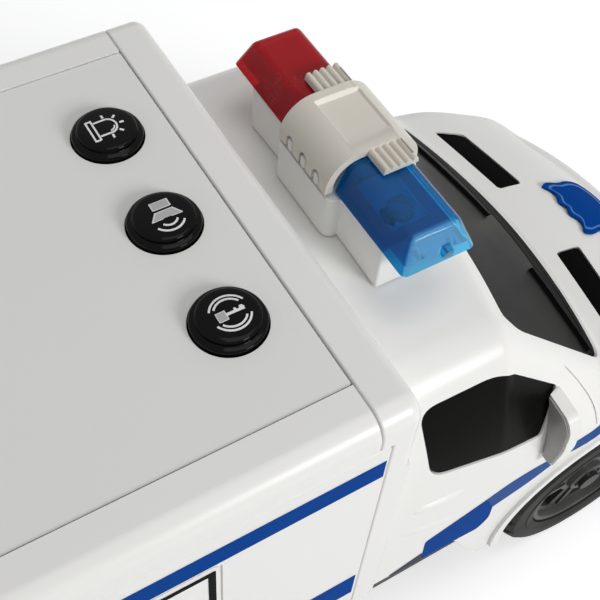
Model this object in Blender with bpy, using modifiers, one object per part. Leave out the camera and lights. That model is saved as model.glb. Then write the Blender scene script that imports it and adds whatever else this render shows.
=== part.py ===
"""Remote control police van: body shells, lightbar, roof buttons, steered front wheels and rear drive.

Lengths are metres. +X is forward, +Y is the van's left side and +Z is up.
The origin is on the ground, in the middle of the van.
"""

import math

import bmesh
import bpy
from mathutils import Matrix, Vector

MM = 0.001

# Clearances, walls and roundness
GAP = 0.3 * MM
WALL = 2.0 * MM
PANE = 1.4 * MM
ROUND_STEPS = 20
WELD = 0.000001

# Overall size
LENGTH = 280 * MM
BOX_WIDTH = 107 * MM
ROOF_Z = 120 * MM
SILL_Z = 38 * MM
SILL_DROP = 6.5 * MM
SILL_RISE = 2.6 * MM
SILL_LEG = 8 * MM
FRONT_X = LENGTH / 2
REAR_X = -LENGTH / 2
BOX_HALF = BOX_WIDTH / 2

# Box behind the cab
REAR_BUMPER = 5 * MM
CAB_LENGTH = 117.6 * MM
HOOP_LENGTH = 8.4 * MM
HOOP_STEP = 2.5 * MM
HOOP_DROP = 8 * MM
BOX_REAR_X = REAR_X + REAR_BUMPER
BOX_FRONT_X = FRONT_X - CAB_LENGTH
HOOP_ROOF_X = BOX_FRONT_X - HOOP_LENGTH
HOOP_SIDE_X = HOOP_ROOF_X + HOOP_STEP
HOOP_STEP_Z = ROOF_Z - HOOP_DROP
ROOF_EDGE_RADIUS = 4.5 * MM
ROOF_RIM = 4.2 * MM
LEDGE = 3 * MM

# Roof panel and its buttons
PANEL_RIM = 9.5 * MM
PANEL_SETBACK = 4 * MM
PANEL_HALF = BOX_HALF - PANEL_RIM
PANEL_REAR_X = BOX_REAR_X + PANEL_SETBACK
PANEL_THICK = 2 * MM
BUTTON_SETBACK = 11.8 * MM
BUTTON_X = HOOP_ROOF_X - BUTTON_SETBACK
BUTTON_PITCH = 23.8 * MM
BUTTON_RADIUS = 6.7 * MM
BUTTON_HEIGHT = 2.6 * MM
BUTTON_FLANGE = 1.3 * MM
BUTTON_TRAVEL = 1.5 * MM
COLLAR_DEPTH = 3 * MM
BOARD_THICK = 1.6 * MM
SWITCH_RADIUS = 2.2 * MM
SWITCH_HEIGHT = 2 * MM
POST_RADIUS = 2.5 * MM

# Cab: roof, windscreen, bonnet and nose
CAB_INSET = 0.5 * MM
CAB_DROP = 10.5 * MM
SHOULDER_INSET = 16 * MM
COWL_INSET = 11 * MM
CAB_ROOF_LENGTH = 32.3 * MM
COWL_SETBACK = 45.5 * MM
LIP_SETBACK = 11 * MM
CAB_REAR_X = BOX_FRONT_X + GAP
CAB_HALF = BOX_HALF - CAB_INSET
CAB_ROOF_Z = ROOF_Z - CAB_DROP
CAB_SHOULDER = CAB_HALF - SHOULDER_INSET
COWL_HALF = CAB_HALF - COWL_INSET
CAB_FOOT_Z = 20 * MM
SCREEN_TOP_X = CAB_REAR_X + CAB_ROOF_LENGTH
COWL_X = FRONT_X - COWL_SETBACK
COWL_Z = 67.3 * MM
COWL_DEPTH = 2.4 * MM
BONNET_LIP_X = FRONT_X - LIP_SETBACK
BONNET_LIP_Z = 54.5 * MM
NOSE_REACH = 6 * MM
TOP_STEPS = 5
EDGE_STEPS = 3
EDGE_TURN = math.radians(75)

# Side windows, seen from the side
WINDOW_PILLAR = 5.6 * MM
WINDOW_LENGTH = 35.7 * MM
WINDOW_DROP = 8 * MM
WINDOW_REAR_X = CAB_REAR_X + WINDOW_PILLAR
WINDOW_FRONT_X = WINDOW_REAR_X + WINDOW_LENGTH
WINDOW_TOP_Z = CAB_ROOF_Z - WINDOW_DROP
WINDOW_SILL_Z = 79 * MM
WINDOW_DIP = 11 * MM

# Bonnet vents and badge, seen from above
VENT_INNER_Y = 11.5 * MM
VENT_INSET = 6 * MM
VENT_SETBACK = 4.2 * MM
VENT_OUTER_Y = COWL_HALF - VENT_INSET
VENT_REAR_X = COWL_X + VENT_SETBACK
VENT_WIDTH = 7.8 * MM
VENT_SWEEP = 3.2 * MM
BADGE_SETBACK = 11 * MM
BADGE_X = BONNET_LIP_X - BADGE_SETBACK
BADGE_LENGTH = 10 * MM
BADGE_HALF = 9 * MM
BADGE_THICK = 0.5 * MM

# Lamps and grille on the nose, seen from the front
LAMP_INSET = 1 * MM
LAMP_WIDTH = 19 * MM
LAMP_GAP = 4 * MM
LAMP_OUTER_Y = COWL_HALF - LAMP_INSET
LAMP_INNER_Y = LAMP_OUTER_Y - LAMP_WIDTH
LAMP_LOW_Z = 41.5 * MM
LAMP_HIGH_Z = 49 * MM
GRILLE_HALF = LAMP_INNER_Y - LAMP_GAP
GRILLE_BAR = 1.4 * MM
BUMPER_LOW_Z = 20 * MM
BUMPER_HIGH_Z = 37 * MM
TAIL_WIDTH = 5 * MM
TAIL_HEIGHT = 26 * MM
TAIL_LOW_Z = 48 * MM
DOOR_THICK = 1.8 * MM

# Mirrors, seen from behind
MIRROR_SETBACK = 1.5 * MM
MIRROR_X = WINDOW_FRONT_X - MIRROR_SETBACK
MIRROR_THICK = 5 * MM
MIRROR_LOW_Z = 64 * MM
MIRROR_HIGH_Z = 85 * MM
MIRROR_REACH = 4.5 * MM
MIRROR_HALF = CAB_HALF + MIRROR_REACH
MIRROR_FRAME = 1.3 * MM

# Lightbar on the cab roof
LENS_HALF = 30.5 * MM
LENS_SETBACK = 9.8 * MM
LENS_LENGTH = 15.5 * MM
BAR_RISE = 10.8 * MM
LENS_REAR_X = CAB_REAR_X + LENS_SETBACK
LENS_FRONT_X = LENS_REAR_X + LENS_LENGTH
LENS_BASE_Z = CAB_ROOF_Z + BAR_RISE
LENS_HEIGHT = 6.4 * MM
LENS_TAPER = 2.6 * MM
LENS_WALL = 1.2 * MM
BAR_BASE_HALF = 23.5 * MM
PLINTH_HALF = 9.8 * MM
SADDLE_HALF = 8.3 * MM
SADDLE_WALL = 1.6 * MM
TAB_REACH = 5.4 * MM
TAB_RIDGES = 5
LED_RADIUS = 2.5 * MM
LED_Y = 17.5 * MM

# Wheels and axles
TYRE_RADIUS = 25.5 * MM
TYRE_WIDTH = 18 * MM
RIM_RADIUS = 17 * MM
WHEEL_INSET = 8.7 * MM
FRONT_OVERHANG = 50.5 * MM
REAR_OVERHANG = 59.5 * MM
WHEEL_Y = BOX_HALF - WHEEL_INSET
FRONT_AXLE_X = FRONT_X - FRONT_OVERHANG
REAR_AXLE_X = REAR_X + REAR_OVERHANG
AXLE_Z = TYRE_RADIUS
AXLE_RADIUS = 2 * MM
ARCH_ROOM = 3 * MM
STEER_ROOM = 4 * MM
ARCH_RADIUS = TYRE_RADIUS + ARCH_ROOM
ARCH_LIP = 2.4 * MM
ARCH_LEG = 7 * MM
SPOKES = 5

# Steering
KINGPIN_INSET = 13.8 * MM
KINGPIN_Y = WHEEL_Y - KINGPIN_INSET
KINGPIN_RADIUS = 1.8 * MM
STEER_ARM = 11 * MM
SERVO_REAR = 9 * MM
SERVO_HALF = 13 * MM
STEER_PIN = 1.2 * MM
STEER_SLOT = 1.2 * MM
BRIDGE_THICK = 2.5 * MM
KNUCKLE_LOW = 5.7 * MM
KNUCKLE_HIGH = 7.2 * MM

# Rear drive
GEAR_MODULE = 0.7 * MM
AXLE_TEETH = 32
IDLER_TEETH = 24
PINION_TEETH = 10
GEAR_WIDTH = 5 * MM
GEAR_Y = -18 * MM
IDLER_LEAN = math.radians(35)
PINION_LEAN = math.radians(20)
PIN_RADIUS = 1.5 * MM
MOTOR_RADIUS = 10 * MM
MOTOR_FLAT = 7.5 * MM
MOTOR_LENGTH = 25 * MM

GEARBOX_PLATE = 1.5 * MM
GEARBOX_ROOM = 6 * MM
IDLER_REACH = GEAR_MODULE * (AXLE_TEETH + IDLER_TEETH) / 2
PINION_REACH = GEAR_MODULE * (IDLER_TEETH + PINION_TEETH) / 2
PINION_X = REAR_AXLE_X + IDLER_REACH * math.cos(IDLER_LEAN) + PINION_REACH * math.cos(PINION_LEAN)
GEARBOX_FRONT_X = PINION_X + GEARBOX_ROOM + 3 * GEARBOX_PLATE

# Chassis
FLOOR_DROP = 8.5 * MM
FLOOR_THICK = 2.5 * MM
SPINE_INSET = 7 * MM
WHEEL_ROOM = 2.8 * MM
FLOOR_Z = AXLE_Z - FLOOR_DROP
SPINE_HALF = KINGPIN_Y - SPINE_INSET
REAR_NOTCH_HALF = WHEEL_Y - TYRE_WIDTH / 2 - WHEEL_ROOM
REAR_NOTCH = ARCH_RADIUS + 5 * GAP
LIP_RISE = 8 * MM
TRAY_INSET = 5.7 * MM
TRAY_WALL = 3 * MM
COVER_RIM = 3 * MM
SPEAKER_RADIUS = 14 * MM
SPEAKER_HEIGHT = 8 * MM
SPEAKER_GAP = 6.5 * MM
SPEAKER_X = FRONT_AXLE_X - 2 * STEER_ARM - SERVO_REAR - SPEAKER_GAP - SPEAKER_RADIUS
PACK_WIDTH = 32 * MM
PACK_HEIGHT = 15 * MM
PACK_REAR_X = GEARBOX_FRONT_X + WALL + 5 * GAP
PACK_FRONT_X = SPEAKER_X - SPEAKER_RADIUS - 3 * COVER_RIM
PACK_LENGTH = PACK_FRONT_X - PACK_REAR_X
PACK_X = (PACK_FRONT_X + PACK_REAR_X) / 2
SWITCH_SETBACK = 8 * MM
SWITCH_INSET = 17.5 * MM
SWITCH_X = SPEAKER_X - SWITCH_SETBACK
SWITCH_Y = BOX_HALF - SWITCH_INSET
SWITCH_KNOB = 4 * MM
SWITCH_THROW = 4 * MM
SCREW_RADIUS = 1.5 * MM

# Values that follow from the sizes above
FLOOR_TOP = FLOOR_Z + FLOOR_THICK
PANEL_TOP = ROOF_Z - GAP
ARCH_REAR_X = FRONT_AXLE_X - ARCH_RADIUS - ARCH_LEG
FRONT_NOTCH = ARCH_RADIUS + ARCH_LEG + GAP
COLLAR_Z = PANEL_TOP - PANEL_THICK - COLLAR_DEPTH
KEY_BOARD_TOP = COLLAR_Z - 2 * GAP - BUTTON_FLANGE - BUTTON_TRAVEL - SWITCH_HEIGHT
LENS_TOP_Z = LENS_BASE_Z + LENS_HEIGHT
LENS_MID_X = (LENS_REAR_X + LENS_FRONT_X) / 2
BRIDGE_Z = AXLE_Z + KNUCKLE_HIGH + GAP
PACK_TOP = FLOOR_Z + COVER_RIM + PACK_HEIGHT + GAP

# Ribs of the cab's top, rear to front: centre x, centre z, set-back, half-width and
# drop at the shoulder, edge radius, depth to the belt
RIBS = (
    (CAB_REAR_X, CAB_ROOF_Z, 0, CAB_SHOULDER, 1.7 * MM, 10 * MM, 42 * MM),
    (SCREEN_TOP_X - 4 * MM, CAB_ROOF_Z, 3 * MM, CAB_SHOULDER, 2 * MM, 10 * MM, 41 * MM),
    (SCREEN_TOP_X, CAB_ROOF_Z - 2 * MM, 3.5 * MM, CAB_SHOULDER, 2 * MM, 9 * MM, 39 * MM),
    (COWL_X - 3 * MM, COWL_Z + 2.2 * MM, 5 * MM, COWL_HALF - 1.5 * MM, 0, 6 * MM, 18 * MM),
    (COWL_X, COWL_Z, 4.5 * MM, COWL_HALF, 0.5 * MM, 6 * MM, 16 * MM),
    (COWL_X + 9.5 * MM, COWL_Z - 2.1 * MM, 4 * MM, COWL_HALF - 0.5 * MM, 0.8 * MM, 6 * MM, 12.5 * MM),
    (BONNET_LIP_X - 14 * MM, BONNET_LIP_Z + 7.3 * MM, 4 * MM, COWL_HALF - 3 * MM, 1.5 * MM, 6 * MM, 12 * MM),
    (BONNET_LIP_X - 5 * MM, BONNET_LIP_Z + 3.2 * MM, 4.5 * MM, COWL_HALF - 6 * MM, 1.2 * MM, 6 * MM, 10 * MM),
    (BONNET_LIP_X, BONNET_LIP_Z, 5 * MM, COWL_HALF - 10.5 * MM, 1.5 * MM, 5 * MM, 9 * MM),
)
RIB_TURNS = (0, 0, 0, 0, 0, 0, 10, 26, 42)
RIB_STEPS = (2, 1, 3, 1, 1, 2, 2, 1)
CORNER_REACH = 9 * MM
FLARE = 4.5 * MM
FLARE_END = math.radians(60)

# Colour, roughness, metallic value and light let through by each finish
FINISHES = {
    "white": ((0.86, 0.86, 0.84), 0.32, 0.0, 0.0),
    "roof": ((0.80, 0.80, 0.79), 0.38, 0.0, 0.0),
    "cream": ((0.83, 0.81, 0.76), 0.36, 0.0, 0.0),
    "black": ((0.015, 0.015, 0.015), 0.45, 0.0, 0.0),
    "gloss_black": ((0.008, 0.008, 0.008), 0.12, 0.0, 0.0),
    "tinted": ((0.02, 0.02, 0.022), 0.10, 0.0, 0.0),
    "blue_lens": ((0.01, 0.12, 0.52), 0.08, 0.0, 0.6),
    "red_lens": ((0.50, 0.01, 0.02), 0.12, 0.0, 0.6),
    "clear_lens": ((0.85, 0.88, 0.90), 0.08, 0.0, 0.6),
    "blue": ((0.01, 0.06, 0.34), 0.35, 0.0, 0.0),
    "silver": ((0.60, 0.60, 0.60), 0.25, 0.6, 0.0),
    "steel": ((0.55, 0.55, 0.55), 0.30, 1.0, 0.0),
    "brass": ((0.70, 0.48, 0.18), 0.30, 1.0, 0.0),
    "grey": ((0.18, 0.18, 0.18), 0.50, 0.0, 0.0),
    "rubber": ((0.025, 0.025, 0.025), 0.75, 0.0, 0.0),
    "nylon": ((0.75, 0.74, 0.68), 0.50, 0.0, 0.0),
    "board": ((0.02, 0.20, 0.06), 0.45, 0.0, 0.0),
}

for leftover in list(bpy.data.objects):
    bpy.data.objects.remove(leftover, do_unlink=True)

PARTS = bpy.data.collections.new("remote_control_police_van")
TOOLS = bpy.data.collections.new("cutters")
bpy.context.scene.collection.children.link(PARTS)
bpy.context.scene.collection.children.link(TOOLS)


# Helpers that make, shape and name objects

def as_tool(mesh, name="tool"):
    """An object that only shapes others, until it is named as a piece."""
    made = bpy.data.objects.new(name, mesh)
    made.hide_render = True
    made.display_type = "WIRE"
    TOOLS.objects.link(made)
    return made


def from_bmesh(shape):
    bmesh.ops.recalc_face_normals(shape, faces=shape.faces[:])
    mesh = bpy.data.meshes.new("shape")
    shape.to_mesh(mesh)
    shape.free()
    return as_tool(mesh)


def baked(source):
    """The object's mesh with its modifiers applied, in a new object in its place."""
    bpy.context.view_layer.update()
    evaluated = source.evaluated_get(bpy.context.evaluated_depsgraph_get())
    mesh = bpy.data.meshes.new_from_object(evaluated)
    mesh.transform(source.matrix_world)
    bpy.data.objects.remove(source, do_unlink=True)
    shape = bmesh.new()
    shape.from_mesh(mesh)
    bmesh.ops.remove_doubles(shape, verts=shape.verts[:], dist=WELD)
    return from_bmesh(shape)


def block(low, high, round_by=0.0):
    low, high = Vector(low), Vector(high)
    shape = bmesh.new()
    bmesh.ops.create_cube(shape, size=1)
    bmesh.ops.scale(shape, vec=high - low, verts=shape.verts[:])
    bmesh.ops.translate(shape, vec=(low + high) / 2, verts=shape.verts[:])
    if round_by:
        bmesh.ops.bevel(shape, geom=shape.edges[:], offset=round_by, segments=2, profile=0.5, affect="EDGES")
    return from_bmesh(shape)


def rod(start, end, radius, steps=ROUND_STEPS, end_radius=None):
    start, end = Vector(start), Vector(end)
    along = end - start
    turn = Vector((0, 0, 1)).rotation_difference(along).to_matrix().to_4x4()
    place = Matrix.Translation((start + end) / 2) @ turn
    shape = bmesh.new()
    bmesh.ops.create_cone(
        shape, cap_ends=True, segments=steps, radius1=radius,
        radius2=radius if end_radius is None else end_radius, depth=along.length, matrix=place,
    )
    return from_bmesh(shape)


# How a flat outline's own two axes and its thickness lie in the world
PLANES = {
    "X": Matrix(((0, 0, 1, 0), (1, 0, 0, 0), (0, 1, 0, 0), (0, 0, 0, 1))),
    "Y": Matrix(((1, 0, 0, 0), (0, 0, -1, 0), (0, 1, 0, 0), (0, 0, 0, 1))),
    "Z": Matrix.Identity(4),
}


def prism(outlines, low, high, axis):
    """A flat outline, with holes after the first, extruded along an axis from low to high."""
    if not isinstance(outlines[0][0], (tuple, list)):
        outlines = [outlines]
    curve = bpy.data.curves.new("outline", "CURVE")
    curve.dimensions = "2D"
    curve.fill_mode = "BOTH"
    curve.extrude = (high - low) / 2
    for points in outlines:
        spline = curve.splines.new("POLY")
        spline.points.add(len(points) - 1)
        spline.use_cyclic_u = True
        for point, (u, v) in zip(spline.points, points):
            point.co = (u, v, 0, 1)
    drawn = bpy.data.objects.new("outline", curve)
    TOOLS.objects.link(drawn)
    shift = [0, 0, 0]
    shift["XYZ".index(axis)] = (low + high) / 2
    drawn.matrix_world = Matrix.Translation(shift) @ PLANES[axis]
    return baked(drawn)


def turned(profile, place, closed=False, steps=ROUND_STEPS):
    """A profile of (radius, height), outer side from top to bottom, turned about its axis."""
    mesh = bpy.data.meshes.new("profile")
    edges = [(i, i + 1) for i in range(len(profile) - 1)]
    if closed:
        edges.append((len(profile) - 1, 0))
    mesh.from_pydata([(r, 0, h) for r, h in profile], edges, [])
    made = as_tool(mesh)
    screw = made.modifiers.new("turn", "SCREW")
    screw.axis = "Z"
    screw.steps = steps
    screw.render_steps = steps
    screw.use_merge_vertices = True
    screw.merge_threshold = WELD
    made.matrix_world = place
    return baked(made)


def combine(base, operation, tools):
    for tool in tools:
        change = base.modifiers.new(operation.lower(), "BOOLEAN")
        change.operation = operation
        change.solver = "EXACT"
        change.object = tool
    return base


def cut(base, *tools):
    return combine(base, "DIFFERENCE", tools)


def fuse(base, *tools):
    return combine(base, "UNION", tools)


def common(base, *tools):
    return combine(base, "INTERSECT", tools)


def copied(source, matrix):
    mesh = source.data.copy()
    mesh.transform(matrix)
    if matrix.determinant() < 0:
        mesh.flip_normals()
    return as_tool(mesh)


def across(source):
    """The piece's mirror image on the other side of the van."""
    return copied(source, Matrix.Scale(-1, 4, (0, 1, 0)))


def joint_empty(name, place):
    pivot = bpy.data.objects.new(name, None)
    pivot.location = place
    pivot.empty_display_size = 5 * MM
    PARTS.objects.link(pivot)
    bpy.context.view_layer.update()
    return pivot


def piece(shape, name, finish, pivot=None):
    """Names a finished shape as one piece of the van, with its own material."""
    colour, roughness, metallic, see_through = FINISHES[finish]
    material = bpy.data.materials.new(name)
    material.use_nodes = True
    shader = material.node_tree.nodes["Principled BSDF"]
    shader.inputs["Base Color"].default_value = (*colour, 1)
    shader.inputs["Roughness"].default_value = roughness
    shader.inputs["Metallic"].default_value = metallic
    shader.inputs["Transmission Weight"].default_value = see_through
    shape.name = name
    shape.data.name = name
    shape.data.materials.clear()
    shape.data.materials.append(material)
    shape.data.shade_smooth()
    shape.data.set_sharp_from_angle(angle=math.radians(35))
    shape.hide_render = False
    shape.display_type = "TEXTURED"
    TOOLS.objects.unlink(shape)
    PARTS.objects.link(shape)
    if pivot:
        shape.parent = pivot
        shape.matrix_parent_inverse = pivot.matrix_world.inverted()
    return shape


def arc(centre, radius, start, end, steps):
    """Points on an arc, with angles in degrees."""
    angles = [math.radians(start + (end - start) * i / steps) for i in range(steps + 1)]
    return [(centre[0] + radius * math.cos(a), centre[1] + radius * math.sin(a)) for a in angles]


def rounded(low, high, radius, steps=4):
    """A rectangle with round corners."""
    (u0, v0), (u1, v1) = low, high
    return (
        arc((u1 - radius, v1 - radius), radius, 0, 90, steps)
        + arc((u0 + radius, v1 - radius), radius, 90, 180, steps)
        + arc((u0 + radius, v0 + radius), radius, 180, 270, steps)
        + arc((u1 - radius, v0 + radius), radius, 270, 360, steps)
    )


def soft_corners(points, radius, steps=2):
    """An outline whose corners are drawn as short curves, of one size or of a size each."""
    sizes = radius if isinstance(radius, tuple) else (radius,) * len(points)
    made = []
    for i, corner in enumerate(points):
        here = Vector(corner)
        before = Vector(points[i - 1]) - here
        after = Vector(points[(i + 1) % len(points)]) - here
        reach = min(sizes[i], before.length / 2.2, after.length / 2.2)
        start = here + before.normalized() * reach
        end = here + after.normalized() * reach
        for k in range(steps + 1):
            t = k / steps
            made.append(tuple(start * (1 - t) ** 2 + here * 2 * t * (1 - t) + end * t ** 2))
    return made


# Cab surface: a top of curved ribs, and a side that hangs from its edge

def cab_stations():
    """The ribs with the steps between them filled in."""
    ribs = [(*rib, turn) for rib, turn in zip(RIBS, RIB_TURNS)]
    stations = []
    for rib, following, steps in zip(ribs, ribs[1:], RIB_STEPS):
        for k in range(steps):
            stations.append([a + (b - a) * k / steps for a, b in zip(rib, following)])
    stations.append(list(ribs[-1]))
    return stations


def side_profile(reach, radius, belt, foot, flare):
    """Out and down from the shoulder: a round edge, an eased lean to the belt and a foot that may flare."""
    turns = [EDGE_TURN * (k + 1) / EDGE_STEPS for k in range(EDGE_STEPS)]
    points = [(radius * math.sin(a), radius * (1 - math.cos(a))) for a in turns]
    out, down = points[-1]
    for share in (1 / 3, 2 / 3, 1):
        eased = math.sin(share * math.pi / 2)
        points.append((out + (reach - out) * eased, down + (belt - down) * share))
    for share in (1 / 2, 1):
        points.append((reach + flare * math.sin(share * math.pi / 2), belt + (foot - belt) * share))
    return points


def side_reach(half, angle):
    """How far a side goes out from its shoulder at the belt, and how much further at its foot."""
    full = (CAB_HALF - half) / math.cos(angle)
    reach = min(full, CORNER_REACH) if angle else full
    return reach, min(full - reach, FLARE * (1 - angle / FLARE_END))


def cab_surface():
    """The cab's outer face, open at the rear and below."""
    shape = bmesh.new()
    stations = cab_stations()
    shares = [i / TOP_STEPS - 1 for i in range(2 * TOP_STEPS + 1)]
    top = [
        [shape.verts.new((x - back * t * t, half * t, z - drop * t * t)) for t in shares]
        for x, z, back, half, drop, _, _, _ in stations
    ]
    for rear, front in zip(top, top[1:]):
        for i in range(len(shares) - 1):
            shape.faces.new((rear[i], front[i], front[i + 1], rear[i + 1]))
    edge = []
    for row, (_, _, _, half, _, radius, belt, turn) in zip(top, stations):
        angle = math.radians(turn)
        reach, flare = side_reach(half, angle)
        edge.append((row[0], -1, angle, reach, radius, belt, flare))
    corner, radius, belt = math.radians(stations[-1][7]), stations[-1][5], stations[-1][6]
    for vert, t in list(zip(top[-1], shares))[1:-1]:
        angle = corner + (math.pi / 2 - corner) * (1 - abs(t))
        reach = NOSE_REACH + (CORNER_REACH - NOSE_REACH) * abs(t)
        edge.append((vert, math.copysign(1, t), angle, reach, radius, belt, side_reach(0, corner)[1] * abs(t)))
    for row, (_, _, _, half, _, radius, belt, turn) in reversed(list(zip(top, stations))):
        angle = math.radians(turn)
        reach, flare = side_reach(half, angle)
        edge.append((row[-1], 1, angle, reach, radius, belt, flare))
    columns = []
    for vert, side, angle, reach, radius, belt, flare in edge:
        out = Vector((math.sin(angle), side * math.cos(angle), 0))
        foot = vert.co.z - CAB_FOOT_Z
        column = [vert]
        for d, h in side_profile(reach, radius, belt, foot, flare):
            column.append(shape.verts.new(vert.co + out * d - Vector((0, 0, h))))
        columns.append(column)
    for near, far in zip(columns, columns[1:]):
        for k in range(len(near) - 1):
            shape.faces.new((near[k], near[k + 1], far[k + 1], far[k]))
    bmesh.ops.recalc_face_normals(shape, faces=shape.faces[:])
    shape.faces.ensure_lookup_table()
    if shape.faces[TOP_STEPS].normal.z < 0:
        bmesh.ops.reverse_faces(shape, faces=shape.faces[:])
    bmesh.ops.triangulate(shape, faces=shape.faces[:], quad_method="SHORT_EDGE")
    shape.normal_update()
    return shape


def cab_skin(start, thickness):
    """A layer of the cab's face that starts at a height above it and grows out, or in if negative."""
    shape = cab_surface()
    moves = [(v, v.normal * start) for v in shape.verts]
    for vert, move in moves:
        vert.co += move
    mesh = bpy.data.meshes.new("skin")
    shape.to_mesh(mesh)
    shape.free()
    made = as_tool(mesh)
    grow = made.modifiers.new("wall", "SOLIDIFY")
    grow.thickness = abs(thickness)
    grow.offset = math.copysign(1, thickness)
    grow.use_even_offset = True
    return baked(made)


def windscreen_outline(low_z, inset):
    """The screen seen from the front, with its arched lower and upper edges."""
    low_half, high_half = COWL_HALF - inset, COWL_HALF - 2 * MM - inset
    arch = 1.2 * MM
    top = CAB_ROOF_Z - 3.6 * MM - inset
    foot = low_z + inset
    return soft_corners(
        [(-low_half, foot + arch), (-low_half / 2, foot + arch / 4), (0, foot), (low_half / 2, foot + arch / 4),
         (low_half, foot + arch), (high_half, top - 2 * arch), (high_half / 2, top - arch / 2), (0, top),
         (-high_half / 2, top - arch / 2), (-high_half, top - 2 * arch)],
        5 * MM,
    )


def cowl_outline(inset):
    half, arch = COWL_HALF - inset, 1.2 * MM
    low, high = COWL_Z + inset, COWL_Z + COWL_DEPTH - inset
    lower = [(half * k / 2, low + arch * k * k / 4) for k in (-2, -1, 0, 1, 2)]
    upper = [(half * k / 2, high + arch * k * k / 4) for k in (2, 1, 0, -1, -2)]
    return lower + upper


def side_window_outline(inset):
    """The side window seen from the side, with its sill dipping towards the front."""
    rear, front = WINDOW_REAR_X + inset, WINDOW_FRONT_X - inset
    top, sill = WINDOW_TOP_Z - inset, WINDOW_SILL_Z + inset
    length = front - rear
    return soft_corners(
        [(rear + 3.5 * MM, sill), (front - 1.5 * MM, sill - WINDOW_DIP), (front, top - 17.5 * MM),
         (rear + 0.76 * length, top - 8 * MM), (rear + 0.4 * length, top - 1 * MM), (rear, top)],
        (4 * MM, 1 * MM, 1 * MM, 8 * MM, 8 * MM, 3 * MM),
    )


def vent_outline(inset):
    """One bonnet vent seen from above, on the left side."""
    rear, front = VENT_REAR_X + inset, VENT_REAR_X + VENT_WIDTH - inset
    inner, outer = VENT_INNER_Y + inset, VENT_OUTER_Y - inset
    return soft_corners(
        [(rear, inner), (front, inner), (front - VENT_SWEEP, outer - 3 * MM), (rear - VENT_SWEEP, outer)],
        1.2 * MM,
    )


def lamp_outline(inset):
    """One headlight seen from the front, on the left side."""
    inner, outer = LAMP_INNER_Y + inset, LAMP_OUTER_Y - inset
    low, high = LAMP_LOW_Z + inset, LAMP_HIGH_Z - inset
    return soft_corners([(inner, low), (outer, low + 1.5 * MM), (outer, high), (inner, high)], 2 * MM)


def flipped(outline):
    """An outline in (y, z) or a mirrored copy of one."""
    return [(-u, v) for u, v in reversed(outline)]


def flipped_above(outline):
    """An outline in (x, y), moved to the other side of the van."""
    return [(u, -v) for u, v in reversed(outline)]


SCREEN_FRONT_X = COWL_X + 8 * MM
SCREEN_BACK_X = SCREEN_TOP_X - 12 * MM
VENT_LOW_Z = COWL_Z - 9 * MM
VENT_HIGH_Z = COWL_Z + 5 * MM
NOSE_BACK_X = BONNET_LIP_X - 26 * MM
NOSE_FRONT_X = LENGTH / 2 + 5 * MM
CAB_INNER = CAB_HALF - 18 * MM
CAB_OUTER = CAB_HALF + 6 * MM


def side_cutter(outline, side):
    low, high = sorted((side * CAB_INNER, side * CAB_OUTER))
    return prism(outline, low, high, "Y")


def sill_outline():
    """What is cut away below the cab's sill, which ends in a leg at the wheel arch."""
    rear, foot, leg = CAB_REAR_X - WALL, CAB_FOOT_Z - WALL, ARCH_REAR_X - SILL_LEG
    return [(rear, foot), (ARCH_REAR_X, foot), (ARCH_REAR_X, SILL_Z - SILL_DROP), (leg, SILL_Z + SILL_RISE / 2),
            (rear, SILL_Z + SILL_RISE)]


def wheel_opening(radius, side):
    """Room for a front wheel, longer in front of the axle, where the tyre swings when it is steered."""
    near, far = sorted((side * (KINGPIN_Y - 4 * MM), side * (BOX_HALF + 15 * MM)))
    front = arc((FRONT_AXLE_X + STEER_ROOM, AXLE_Z), radius, -90, 90, ROUND_STEPS // 2)
    rear = arc((FRONT_AXLE_X, AXLE_Z), radius, 90, 270, ROUND_STEPS // 2)
    return prism(front + rear, near, far, "Y")


def build_cab():
    """White shell of the cab, with its openings and the raised lip round each front wheel."""
    shell = cab_skin(0, -WALL)
    for side in (1, -1):
        lip = common(cab_skin(-WALL / 2, WALL / 2 + 0.9 * MM), wheel_opening(ARCH_RADIUS + ARCH_LIP, side))
        fuse(shell, baked(lip))
    cut(shell, prism(windscreen_outline(COWL_Z, 0), SCREEN_BACK_X, SCREEN_FRONT_X, "X"))
    for side in (1, -1):
        vent = vent_outline(0) if side > 0 else flipped_above(vent_outline(0))
        lamp = lamp_outline(0) if side > 0 else flipped(lamp_outline(0))
        cut(
            shell,
            side_cutter(side_window_outline(0), side),
            prism(vent, VENT_LOW_Z, VENT_HIGH_Z, "Z"),
            prism(lamp, NOSE_BACK_X, NOSE_FRONT_X, "X"),
            wheel_opening(ARCH_RADIUS, side),
            side_cutter(sill_outline(), side),
        )
    cut(shell, prism(rounded((-GRILLE_HALF, LAMP_LOW_Z - 1 * MM), (GRILLE_HALF, LAMP_HIGH_Z), 2 * MM),
                     NOSE_BACK_X, NOSE_FRONT_X, "X"))
    piece(baked(shell), "cab_shell", "white")


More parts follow.
